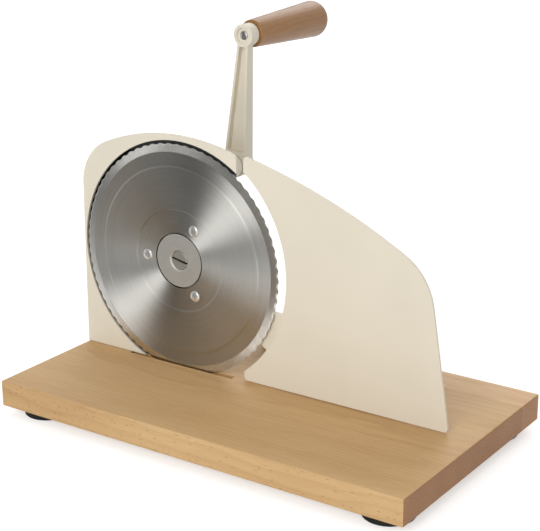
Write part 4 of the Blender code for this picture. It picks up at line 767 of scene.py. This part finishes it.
steel = steel_finish("ground_steel", blade_axis, 0.5, 0.97, BEVEL_START)
disc = turned(
    "slicing_blade",
    blade_profile(),
    (blade_axis.x, wall_front, blade_axis.z),
    BLADE_WAVES * BLADE_STEPS_PER_WAVE,
)
disc = grown(
    disc,
    wave_tree(),
    Centre=blade_axis,
    Radius=BLADE_RADIUS,
    Reach=WAVE_REACH,
    Waves=float(BLADE_WAVES),
    Depth=WAVE_DEPTH,
    Grind=WAVE_GRIND,
    Finish=steel,
)
dress(disc, steel, "blade", "blade_steel", "blade")


# Hub, screw and rivets of the blade
# A flat steel washer fills the blade's bore, with a narrow gap round it in which shade is painted black. A
# slotted screw, sunk in its middle, holds it to the spindle, and three domed rivets hold the blade to its
# gear.

HUB_RADIUS = 0.0222
HUB_SINK_RADIUS = 0.009
HUB_BORE_RADIUS = 0.0079
HUB_EDGE = 0.0003
CENTRE_FRONT = -0.0012
SCREW_RADIUS = 0.0076
SCREW_SHANK_RADIUS = 0.003
SCREW_ROUND_REACH = 0.0005
SCREW_ROUND_DEPTH = 0.0004
BLADE_SLOT_WIDTH = 0.0018
BLADE_SLOT_DEPTH = 0.0008
BLADE_SLOT_TILT = math.radians(12)
RIVET_CIRCLE = 0.0313
RIVET_RADIUS = 0.0045
RIVET_RISE = 0.0013
RIVET_COUNT = 3
RIVET_SHANK_RADIUS = 0.0022
BRIGHT_STEEL = (206, 205, 202)
TURNED_STEEL = (200, 198, 190)
RIVET_STEEL = (232, 230, 226)

centre_front = wall_front + CENTRE_FRONT


def paint_slot_shade(material, centre, tilt, width):
    """Paints shade black into a screw's slot, tilted about Y through a centre."""
    tree = material.node_tree
    colour = tree.nodes["Principled BSDF"].inputs["Base Color"]
    place = add_node(tree, "ShaderNodeTexCoord").outputs["Object"]
    local = vector_step(tree, "SUBTRACT", place, tuple(centre))
    level = add_node(tree, "ShaderNodeMapping", {"Vector": local, "Rotation": (0, -tilt, 0)})
    aside = split(tree, level.outputs[0])[2]
    inside = ramp(tree, calculate(tree, "ABSOLUTE", aside), width / 2, width / 2 - SHADE_EDGE)
    plain = colour.links[0].from_socket
    tree.links.new(blend_colours(tree, inside, plain, linear(PAINTED_SHADE_BLACK)), colour)


def quarter(steps):
    """The angles of a quarter turn in even steps."""
    return [math.pi / 2 / steps * i for i in range(steps + 1)]


bright = metal_finish("bright_steel", BRIGHT_STEEL, 0.34, 900.0, 0.9)
turned_steel = metal_finish("turned_steel", TURNED_STEEL, 0.56, 900.0, 0.9)
# The centre screw's slot is cut, and shade is also painted black into it.
paint_slot_shade(turned_steel, blade_axis, BLADE_SLOT_TILT, BLADE_SLOT_WIDTH)
rivet_steel = metal_finish("rivet_steel", RIVET_STEEL, 0.34, 900.0, 0.95)
rivet_steel.node_tree.nodes["Principled BSDF"].inputs["Metallic"].default_value = 0.8
hub_steel = steel_finish("hub_steel", blade_axis, 0.58, 0.0, 1.0)
hub_profile = [
    (HUB_SINK_RADIUS, 0),
    (HUB_RADIUS - HUB_EDGE, 0),
    (HUB_RADIUS, HUB_EDGE),
    (HUB_RADIUS, BLADE_THICKNESS),
    (HUB_BORE_RADIUS, BLADE_THICKNESS),
    (HUB_BORE_RADIUS, BLADE_THICKNESS * 0.6),
]
hub = turned("blade_washer", hub_profile, (blade_axis.x, centre_front, blade_axis.z), 128)
dress(hub, hub_steel, "blade", "blade_steel", "blade_hub")

screw_low, screw_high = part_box("blade_screw")
screw_front = screw_low[1]
screw_profile = [
    (0, screw_front),
    (SCREW_RADIUS - SCREW_ROUND_REACH, screw_front),
    (SCREW_RADIUS, screw_front + SCREW_ROUND_DEPTH),
    (SCREW_RADIUS, centre_front + BLADE_THICKNESS),
    (SCREW_SHANK_RADIUS, centre_front + BLADE_THICKNESS),
    (SCREW_SHANK_RADIUS, screw_high[1]),
    (0, screw_high[1]),
]
screw = turned("blade_centre_screw", screw_profile, (blade_axis.x, 0, blade_axis.z))
half = BLADE_SLOT_WIDTH / 2
slot = block(
    (-SCREW_RADIUS * 1.3, screw_front - CUT_OVERRUN, -half),
    (SCREW_RADIUS * 1.3, screw_front + BLADE_SLOT_DEPTH, half),
)
bmesh.ops.rotate(slot, verts=slot.verts, matrix=Matrix.Rotation(BLADE_SLOT_TILT, 3, "Y"))
bmesh.ops.translate(slot, verts=slot.verts, vec=(blade_axis.x, 0, blade_axis.z))
dress(carved(screw, slot), turned_steel, "blade", "bright_steel", "blade_screw")

dome = [(0, -RIVET_RISE)]
for turn in quarter(8)[1:]:
    dome.append((RIVET_RADIUS * math.sin(turn), -RIVET_RISE * math.cos(turn)))
rivet_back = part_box("blade_rivet_1")[1][1] - (centre_front - SEAT_GAP)
dome += [(RIVET_SHANK_RADIUS, 0), (RIVET_SHANK_RADIUS, rivet_back), (0, rivet_back)]
rivets = grown(
    turned("blade_rivets", dome, sides=48),
    on_circle,
    Count=RIVET_COUNT,
    Radius=RIVET_CIRCLE,
    Start=math.pi,
    Middle=(blade_axis.x, centre_front - SEAT_GAP, blade_axis.z),
    Twist=0.0,
    Finish=rivet_steel,
)
dress(rivets, rivet_steel, "blade", "bright_steel", *[f"blade_rivet_{i + 1}" for i in range(RIVET_COUNT)])


# Drive behind the blade
# A moulded nylon gear riveted to the blade, the steel pinion on the crank's shaft, and the blade's
# spindle, which a spring ring holds at the back of its bearing.

NYLON = (214, 208, 190)
SPINDLE_RADIUS = 0.008
SPINDLE_CHAMFER = 0.0008
CENTRE_DRILL_RADIUS = 0.0016
CENTRE_DRILL_DEPTH = 0.0014
CLIP_RADIUS = 0.0115
CLIP_BORE = 0.0083



def sleeve(bore, radius, front, back, front_edge=0.0, back_edge=0.0):
    """The profile of a plain round piece with a chamfer at either end; without a bore it is a pin."""
    profile = [(bore, front), (radius - front_edge, front)]
    if front_edge:
        profile.append((radius, front + front_edge))
    if back_edge:
        profile.append((radius, back - back_edge))
    return profile + [(radius - back_edge, back), (bore, back)]


nylon = plastic_finish("gear_nylon", NYLON, 0.46)
refinish(nylon, "blade_gear")
refinish(zinc, "pinion", "crank_shaft")
spindle_low, spindle_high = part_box("blade_spindle")
spindle_profile = [
    (0, spindle_low[1]),
    (SPINDLE_RADIUS, spindle_low[1]),
    (SPINDLE_RADIUS, spindle_high[1] - SPINDLE_CHAMFER),
    (SPINDLE_RADIUS - SPINDLE_CHAMFER, spindle_high[1]),
    (CENTRE_DRILL_RADIUS, spindle_high[1]),
    (0, spindle_high[1] - CENTRE_DRILL_DEPTH),
]
on_blade = (blade_axis.x, 0, blade_axis.z)
spindle = turned("steel_spindle", spindle_profile, on_blade)
dress(spindle, zinc, "blade", "zinc_steel", "blade_spindle")
clip_low, clip_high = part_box("spindle_clip")
clip = turned("spring_ring", sleeve(CLIP_BORE, CLIP_RADIUS, clip_low[1], clip_high[1]), on_blade)
dress(clip, zinc, "blade", "zinc_steel", "spindle_clip")


# Crank arm
# One casting, coated cream: a tapered channel with a round hub on the shaft and a thicker round
# boss at the top for the handle's bolt. An acorn nut holds it on the shaft.

ARM_EDGE = 0.0005
NUT_RADIUS = 0.008
NUT_THICKNESS = 0.006
NUT_DOME = 0.0058
NUT_CHAMFER = 0.0008
CAP_STEP = 0.0004
CAP_START = 0.002

dress_softened("coated_crank_arm", "crank_arm", ARM_EDGE, cream, "crank", "cream_coat")


def hexagon(radius, front, back, chamfer):
    """A nut's body along +Y with the corners of both faces turned off."""
    shape = bmesh.new()
    face = []
    for i in range(6):
        turn = math.tau * i / 6
        face.append(shape.verts.new((radius * math.cos(turn), front, radius * math.sin(turn))))
    drawn = bmesh.ops.extrude_face_region(shape, geom=[shape.faces.new(face)])
    moved = [part for part in drawn["geom"] if isinstance(part, bmesh.types.BMVert)]
    bmesh.ops.translate(shape, verts=moved, vec=(0, back - front, 0))
    item = made_object("nut", shape)
    inner = radius * math.cos(math.pi / 6)
    cone = [(0, front), (inner, front), (radius + chamfer, front + chamfer)]
    cone += [(radius + chamfer, back - chamfer), (inner, back), (0, back)]
    return carved(item, turned("turning", cone, sides=60), "INTERSECT")


nut_low, nut_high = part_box("crank_nut")
acorn = hexagon(NUT_RADIUS, nut_low[1], nut_low[1] + NUT_THICKNESS, NUT_CHAMFER)
dome_radius = NUT_RADIUS * math.cos(math.pi / 6) - CAP_STEP
cap = [(0, nut_low[1] + CAP_START)]
for turn in quarter(12):
    cap.append((dome_radius * math.cos(turn), nut_high[1] - NUT_DOME + NUT_DOME * math.sin(turn)))
cap[-1] = (0, nut_high[1])
acorn = carved(acorn, turned("cap", cap, sides=72), "UNION")
acorn.name = "acorn_nut"
acorn.data.transform(Matrix.Translation((crank_axis.x, 0, crank_axis.z)))
dress(acorn, zinc, "crank", "zinc_steel", "crank_nut")


# Handle
# A turned beech grip, lacquered, that spins on a long bolt. The bolt's bright domed end shows in
# the arm's boss, and a beech plug covers its head at the far end.

GRIP_NEAR_RADIUS = 0.0112
GRIP_FAR_RADIUS = 0.0153
GRIP_NEAR_EDGE = 0.0014
GRIP_END_ROUND = 0.009
GRIP_BORE = 0.0033
GRIP_POCKET = 0.0058
GRIP_HEAD_ROOM = 0.0096
PLUG_RADIUS = 0.0055
PLUG_EDGE = 0.0004
BOLT_RADIUS = 0.003
BOLT_TIP_RADIUS = 0.0036
BOLT_TIP_RISE = 0.0009
BOLT_HEAD_RADIUS = 0.0055
BOLT_HEAD_THICKNESS = 0.004
GRIP_PALE = (164, 119, 68)
GRIP_DARK = (126, 83, 40)
GRIP_RAY = (132, 88, 54)
GRIP_PITH = (0.03, 0.2)


def grip_finish():
    made = beech("lacquered_beech", GRIP_PALE, GRIP_DARK, GRIP_RAY, (0, 0, math.pi / 2), GRIP_PITH, 0.4)
    material, tree, shader, wood, grain = made
    tree.links.new(wood, shader.inputs["Base Color"])
    shader.inputs["Coat Weight"].default_value = 0.12
    shader.inputs["Coat Roughness"].default_value = 0.25
    return material


grip_axis = pivots["grip_spin"]
on_grip = (grip_axis.x, 0, grip_axis.z)
lacquered = grip_finish()
grip_low, grip_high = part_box("handle_grip")
front = grip_low[1]
back = grip_high[1]
grip_profile = [(GRIP_BORE, front)]
for turn in quarter(6):
    reach = GRIP_NEAR_RADIUS - GRIP_NEAR_EDGE * (1 - math.sin(turn))
    grip_profile.append((reach, front + GRIP_NEAR_EDGE * (1 - math.cos(turn))))
for turn in quarter(12):
    inner = GRIP_FAR_RADIUS - GRIP_END_ROUND
    rise = back - GRIP_END_ROUND + GRIP_END_ROUND * math.sin(turn)
    grip_profile.append((inner + GRIP_END_ROUND * math.cos(turn), rise))
grip_profile += [
    (GRIP_POCKET, back),
    (GRIP_POCKET, back - GRIP_HEAD_ROOM),
    (GRIP_BORE, back - GRIP_HEAD_ROOM),
]
grip = turned("beech_grip", grip_profile, on_grip)
dress(grip, lacquered, "grip", "beech_grip", "handle_grip")
plug_low, plug_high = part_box("grip_plug")
plug_profile = sleeve(0, PLUG_RADIUS, plug_low[1], plug_high[1])
plug = turned("beech_plug", eased(plug_profile, PLUG_EDGE, 2), on_grip)
dress(plug, lacquered, "grip", "beech_grip", "grip_plug")

bolt_low, bolt_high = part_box("handle_bolt")
tip = []
for turn in quarter(6):
    tip.append((BOLT_TIP_RADIUS * math.sin(turn), bolt_low[1] + BOLT_TIP_RISE * (1 - math.cos(turn))))
bolt_profile = tip + [
    (BOLT_RADIUS, bolt_low[1] + BOLT_TIP_RISE),
    (BOLT_RADIUS, bolt_high[1] - BOLT_HEAD_THICKNESS),
    (BOLT_HEAD_RADIUS, bolt_high[1] - BOLT_HEAD_THICKNESS),
    (BOLT_HEAD_RADIUS, bolt_high[1]),
    (0, bolt_high[1]),
]
bolt = turned("handle_bolt_bright", bolt_profile, on_grip)
dress(bolt, bright, "crank", "bright_steel", "handle_bolt")
refinish(zinc, "grip_washer")


# Stop plate
# A coated steel sheet beside the blade, hollowed to follow its edge. It slides back to set the
# slice, on a carriage that four welded studs hold.

PLATE_EDGE = 0.0005
dress_softened("coated_stop_plate", "stop_plate", PLATE_EDGE, cream, "carriage", "cream_coat")


# Carriage
# A bent bracket of zinc-plated steel with two bright rods that slide in the guide block, a bronze
# nut for the steep lead screw, and a coated wing with round ends, which shows beside the blade.

BRACKET_EDGE = 0.0006
ROD_CHAMFER = 0.0005
WING_REACH = 0.04
WING_RISE = 0.0257
WING_RADIUS = 0.0168
WING_SETBACK = 0.0003
WING_THICKNESS = 0.004
WING_STEPS = 32
LEAD_NUT_RADIUS = 0.0078
LEAD_BORE = 0.0051

dress_softened("plated_bracket", "plate_bracket", BRACKET_EDGE, zinc, "carriage", "zinc_steel")
for side in ("left", "right"):
    low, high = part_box("guide_rod_" + side)
    radius = (high[0] - low[0]) / 2
    rod_profile = sleeve(0, radius, low[1], high[1], back_edge=ROD_CHAMFER)
    middle = ((low[0] + high[0]) / 2, 0, (low[2] + high[2]) / 2)
    rod = turned("bright_rod_" + side, rod_profile, middle, 64)
    dress(rod, bright, "carriage", "bright_steel", "guide_rod_" + side)
low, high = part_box("lead_nut")
knob_axis = pivots["thickness_turn"]
on_knob = (knob_axis.x, 0, knob_axis.z)


def rounded_bar(name, ends, height, radius, front, back):
    """A flat bar with half-round ends, whose middles lie at two places along X."""
    shape = bmesh.new()
    outline = []
    for middle, start in ((ends[1], -math.pi / 2), (ends[0], math.pi / 2)):
        for i in range(WING_STEPS + 1):
            turn = start + math.pi * i / WING_STEPS
            outline.append((middle + radius * math.cos(turn), height + radius * math.sin(turn)))
    near = [shape.verts.new((x, front, z)) for x, z in outline]
    far = [shape.verts.new((x, back, z)) for x, z in outline]
    shape.faces.new(near)
    shape.faces.new(far)
    for i in range(len(outline)):
        shape.faces.new((near[i - 1], near[i], far[i], far[i - 1]))
    return made_object(name, shape)


wing_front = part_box("plate_bracket")[0][1] + WING_SETBACK
wing = rounded_bar(
    "bracket_wing",
    (knob_axis.x - WING_REACH, knob_axis.x),
    knob_axis.z + WING_RISE,
    WING_RADIUS,
    wing_front,
    wing_front + WING_THICKNESS,
)
dress(wing, cream, "carriage", "cream_coat")
lead_nut_profile = sleeve(LEAD_BORE, LEAD_NUT_RADIUS, low[1], high[1], back_edge=ROD_CHAMFER)
lead_nut = turned("bronze_lead_nut", lead_nut_profile, on_knob)
dress(lead_nut, bronze, "carriage", "bronze", "lead_nut")


# Nuts on the studs
# Six-sided plated nuts, two on the wall's studs and four on the stop plate's.

STUD_NUT_RADIUS = 0.0046
STUD_NUT_BORE = 0.0028
STUD_NUT_CHAMFER = 0.0004


def scatter_tree():
    """Copies of a piece on the places of a list, which come in as loose points."""
    tree, entry = new_tree("pieces_on_places", {"Piece": "Object"})
    source = add_node(tree, "GeometryNodeObjectInfo", {"Object": entry["Piece"], "As Instance": True})
    return copied(tree, entry, entry["Geometry"], source.outputs["Geometry"])


on_places = scatter_tree()


def stud_nuts(name, body, *names):
    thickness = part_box(names[0])[1][1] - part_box(names[0])[0][1]
    nut = hexagon(STUD_NUT_RADIUS, 0, thickness, STUD_NUT_CHAMFER)
    hole = sleeve(0, STUD_NUT_BORE, -CUT_OVERRUN, thickness + CUT_OVERRUN)
    nut = carved(nut, turned("hole", hole, sides=40))
    places = bmesh.new()
    for node in names:
        low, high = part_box(node)
        places.verts.new(((low[0] + high[0]) / 2, low[1], (low[2] + high[2]) / 2))
    item = grown(made_object(name, places), on_places, Piece=nut, Finish=zinc)
    bpy.data.objects.remove(nut)
    dress(item, zinc, body, "zinc_steel", *names)


stud_nuts("wall_nuts", "stand", "wall_nut_lower", "wall_nut_upper")
stud_nuts("carriage_nuts", "carriage", *[f"bracket_nut_{i + 1}" for i in range(4)])


# Guide block
# A coated block with round ends, screwed down from under the board, that guides the two rods and
# the lead screw.

BLOCK_SOFT_EDGE = 0.0004
dress_softened("coated_guide_block", "guide_block", BLOCK_SOFT_EDGE, cream, "stand", "cream_coat", 2)


# Lead screw and knob
# A steep many-start screw with a collar in front of the block, and behind it a fluted black knob
# held by one slotted screw.

LEAD_RADIUS = 0.0048
LEAD_THREAD_DEPTH = 0.0006
LEAD_PITCH = 0.018
LEAD_STARTS = 4
LEAD_STEPS = 90
LEAD_FLAT = 0.6
COLLAR_RADIUS = 0.0075
COLLAR_BORE = 0.0051
COLLAR_CHAMFER = 0.0004
KNOB_RADIUS = 0.018
KNOB_FLUTES = 12
KNOB_FLUTE_SINK = 0.0014
KNOB_EDGE = 0.0016
KNOB_BORE = 0.0051
KNOB_RECESS_RADIUS = 0.0043
KNOB_RECESS_DEPTH = 0.003
KNOB_STEP_RADIUS = 0.00258
KNOB_STEP_DEPTH = 0.0042
KNOB_SCREW_HEAD = 0.004
KNOB_SCREW_RISE = 0.0022
KNOB_SLOT = 0.001
KNOB_SCREW_REACH = 0.009

lead_low, lead_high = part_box("lead_screw")
thread = bmesh.new()
rows = []
sides = LEAD_STARTS * 12
for i in range(LEAD_STEPS + 1):
    along = lead_low[1] + (lead_high[1] - lead_low[1]) * i / LEAD_STEPS
    row = []
    for j in range(sides):
        turn = math.tau * j / sides
        wave = math.cos(LEAD_STARTS * (turn - math.tau * along / LEAD_PITCH))
        crest = max(-LEAD_FLAT, min(LEAD_FLAT, wave)) / LEAD_FLAT
        radius = LEAD_RADIUS - LEAD_THREAD_DEPTH * (1 - crest) / 2
        row.append(thread.verts.new((radius * math.cos(turn), along, radius * math.sin(turn))))
    rows.append(row)
for first, second in zip(rows, rows[1:]):
    for j in range(sides):
        k = (j + 1) % sides
        thread.faces.new((first[j], first[k], second[k], second[j]))
thread.faces.new(rows[0])
thread.faces.new(rows[-1])
bmesh.ops.translate(thread, verts=thread.verts, vec=on_knob)
dress(made_object("steep_lead_screw", thread), zinc, "knob", "zinc_steel", "lead_screw")

low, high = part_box("lead_collar")
collar_profile = sleeve(COLLAR_BORE, COLLAR_RADIUS, low[1], high[1], front_edge=COLLAR_CHAMFER)
collar = turned("plated_collar", collar_profile, on_knob)
dress(collar, zinc, "knob", "zinc_steel", "lead_collar")


def knob_ring(shape, inset, along, fluted):
    points = []
    count = KNOB_FLUTES * 12
    for i in range(count):
        turn = math.tau * i / count
        sink = KNOB_FLUTE_SINK * (1 - math.cos(KNOB_FLUTES * turn)) / 2 if fluted else 0
        radius = KNOB_RADIUS - inset - sink
        points.append(shape.verts.new((radius * math.cos(turn), along, radius * math.sin(turn))))
    return points


low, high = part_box("thickness_knob")
front = low[1]
back = high[1]
shape = bmesh.new()
outer = []
for turn in quarter(6):
    outer.append((KNOB_EDGE * (1 - math.sin(turn)), front + KNOB_EDGE * (1 - math.cos(turn)), True))
for turn in quarter(6):
    outer.append((KNOB_EDGE * (1 - math.cos(turn)), back - KNOB_EDGE * (1 - math.sin(turn)), True))
outer += [
    (KNOB_RADIUS - KNOB_RECESS_RADIUS, back, False),
    (KNOB_RADIUS - KNOB_RECESS_RADIUS, back - KNOB_RECESS_DEPTH, False),
    (KNOB_RADIUS - KNOB_STEP_RADIUS, back - KNOB_RECESS_DEPTH, False),
    (KNOB_RADIUS - KNOB_STEP_RADIUS, back - KNOB_STEP_DEPTH, False),
    (KNOB_RADIUS - KNOB_BORE, back - KNOB_STEP_DEPTH, False),
    (KNOB_RADIUS - KNOB_BORE, front, False),
]
rings = [knob_ring(shape, *row) for row in outer]
for first, second in zip(rings, rings[1:] + rings[:1]):
    for i in range(len(first)):
        j = (i + 1) % len(first)
        shape.faces.new((first[i], first[j], second[j], second[i]))
bmesh.ops.translate(shape, verts=shape.verts, vec=on_knob)
dress(made_object("fluted_knob", shape), black_plastic, "knob", "dark_plastic", "thickness_knob")
knob_screw = screw_head(
    "knob_screw_slotted", KNOB_SCREW_HEAD, KNOB_SCREW_RISE, KNOB_SLOT, KNOB_SLOT, KNOB_SCREW_REACH
)
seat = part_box("knob_screw")[1][1] - KNOB_SCREW_RISE
knob_screw.data.transform(Matrix.Translation((knob_axis.x, seat, knob_axis.z)))
dress(knob_screw, zinc, "knob", "zinc_steel", "knob_screw")


# Floor, light and camera
# A plain white floor that keeps the shadow, soft light from the front, and the camera where the
# photograph was taken from.

FLOOR_HALF = 9.0
FLOOR_WHITE = 0.82
FLOOR_GLOW = 0.5
STUDIO_GREY = 0.6
STUDIO_DARK = 0.12
KEY_WAY = (0.14, -0.91, 0.39)
KEY_DISTANCE = 1.9
KEY_SIZE = 1.2
KEY_POWER = 16.5
TOP_WAY = (-0.25, 0.7, 0.6)
TOP_DISTANCE = 2.2
TOP_SIZE = 1.6
TOP_POWER = 11.0
CLOTH_GREY = 0.03
CLOTH_FLOOR = ((-0.1, -0.16), (-0.1, -0.45), (0.25, -0.45), (0.25, -0.9), (-0.75, -0.9), (-0.75, -0.16))
CLOTH_WALL = ((-0.1, -0.9), (-1.1, -0.9))
CLOTH_LIFT = 0.0004
CLOTH_RISE = 2.5
LAMP_AIM = 0.1
PHOTO_WIDTH = 540
PHOTO_HEIGHT = 531
LENS_PIXELS = 1493.03
AXIS_PIXEL = (286.71, 266.93)
CAMERA_YAW = math.radians(-33.989)
CAMERA_PITCH = math.radians(-18.555)
CAMERA_ROLL = math.radians(-0.194)
CAMERA_PLACE = (0.6187, -0.8891, 0.4632)
SENSOR = 36.0


def seen_rays(tree):
    """One for rays from the camera and for those that metal or glass reflects or lets through."""
    kinds = tree.nodes.new("ShaderNodeLightPath").outputs
    share = calculate(tree, "MAXIMUM", kinds["Is Camera Ray"], kinds["Is Glossy Ray"])
    return calculate(tree, "MAXIMUM", share, kinds["Is Transmission Ray"])


def cleared(owner):
    """The empty node tree of a material or a world."""
    owner.use_nodes = True
    owner.node_tree.nodes.clear()
    return owner.node_tree


def make_floor():
    material = bpy.data.materials.new("white_floor")
    tree = cleared(material)
    matt = add_node(tree, "ShaderNodeBsdfDiffuse", {"Color": (FLOOR_WHITE, FLOOR_WHITE, FLOOR_WHITE, 1)})
    glow = add_node(
        tree, "ShaderNodeEmission", {"Strength": calculate(tree, "MULTIPLY", seen_rays(tree), FLOOR_GLOW)}
    )
    both = add_node(tree, "ShaderNodeAddShader", {0: matt.outputs[0], 1: glow.outputs[0]})
    add_node(tree, "ShaderNodeOutputMaterial", {"Surface": both.outputs[0]})
    sheet = bmesh.new()
    bmesh.ops.create_grid(sheet, x_segments=1, y_segments=1, size=FLOOR_HALF)
    floor = made_object("floor", sheet)
    floor.data.materials.append(material)


def make_cloth():
    """A dark cloth laid and hung to the left, which only the metal shows."""
    material = bpy.data.materials.new("dark_cloth")
    tree = cleared(material)
    grey = add_node(tree, "ShaderNodeEmission", {"Strength": CLOTH_GREY})
    add_node(tree, "ShaderNodeOutputMaterial", {"Surface": grey.outputs[0]})
    shape = bmesh.new()
    shape.faces.new([shape.verts.new((*place, CLOTH_LIFT)) for place in CLOTH_FLOOR])
    low = [shape.verts.new((*place, CLOTH_LIFT)) for place in CLOTH_WALL]
    high = [shape.verts.new((*place, CLOTH_RISE)) for place in reversed(CLOTH_WALL)]
    shape.faces.new(low + high)
    cloth = made_object("dark_cloth", shape)
    cloth.data.materials.append(material)
    cloth.visible_camera = False
    cloth.visible_diffuse = False
    cloth.visible_shadow = False


def make_world():
    world = bpy.data.worlds.new("studio")
    bpy.context.scene.world = world
    tree = cleared(world)
    kinds = tree.nodes.new("ShaderNodeLightPath").outputs
    strength = ramp(tree, kinds["Is Camera Ray"], 0.0, 1.0, STUDIO_GREY, 1.0)
    way = add_node(tree, "ShaderNodeTexCoord").outputs["Generated"]
    behind = ramp(tree, split(tree, way)[1], -0.5, -0.2)
    shown = ramp(tree, behind, 0.0, 1.0, STUDIO_DARK, 1.0)
    node = add_node(tree, "ShaderNodeMix", {0: kinds["Is Glossy Ray"], 2: strength, 3: shown})
    light = add_node(tree, "ShaderNodeBackground", {"Strength": node.outputs[0]})
    light.inputs["Color"].default_value = (1, 1, 1, 1)
    add_node(tree, "ShaderNodeOutputWorld", {"Surface": light.outputs[0]})


def add_lamp(name, way, distance, size, power):
    lamp = bpy.data.lights.new(name, "AREA")
    lamp.shape = "DISK"
    lamp.size = size
    lamp.energy = power
    item = bpy.data.objects.new(name, lamp)
    bpy.context.scene.collection.objects.link(item)
    item.location = Vector(way).normalized() * distance + Vector((0, 0, board_top + LAMP_AIM))
    item.rotation_euler = (-Vector(way)).to_track_quat("-Z", "Y").to_euler()


def add_camera():
    eye = bpy.data.cameras.new("photo_camera")
    eye.sensor_width = SENSOR
    eye.lens = SENSOR * LENS_PIXELS / PHOTO_WIDTH
    eye.shift_x = (PHOTO_WIDTH / 2 - AXIS_PIXEL[0]) / PHOTO_WIDTH
    eye.shift_y = (AXIS_PIXEL[1] - PHOTO_HEIGHT / 2) / PHOTO_WIDTH
    item = bpy.data.objects.new("photo_camera", eye)
    bpy.context.scene.collection.objects.link(item)
    item.location = Vector(CAMERA_PLACE) + Vector((0, wall_front, board_top))
    level = Euler((math.pi / 2 + CAMERA_PITCH, 0, -CAMERA_YAW), "XYZ").to_matrix()
    item.rotation_euler = (level @ Matrix.Rotation(CAMERA_ROLL, 3, "Z")).to_euler()
    bpy.context.scene.camera = item


make_floor()
make_cloth()
make_world()
add_lamp("key_lamp", KEY_WAY, KEY_DISTANCE, KEY_SIZE, KEY_POWER)
add_lamp("top_lamp", TOP_WAY, TOP_DISTANCE, TOP_SIZE, TOP_POWER)
add_camera()
bpy.context.scene.view_settings.view_transform = "Standard"
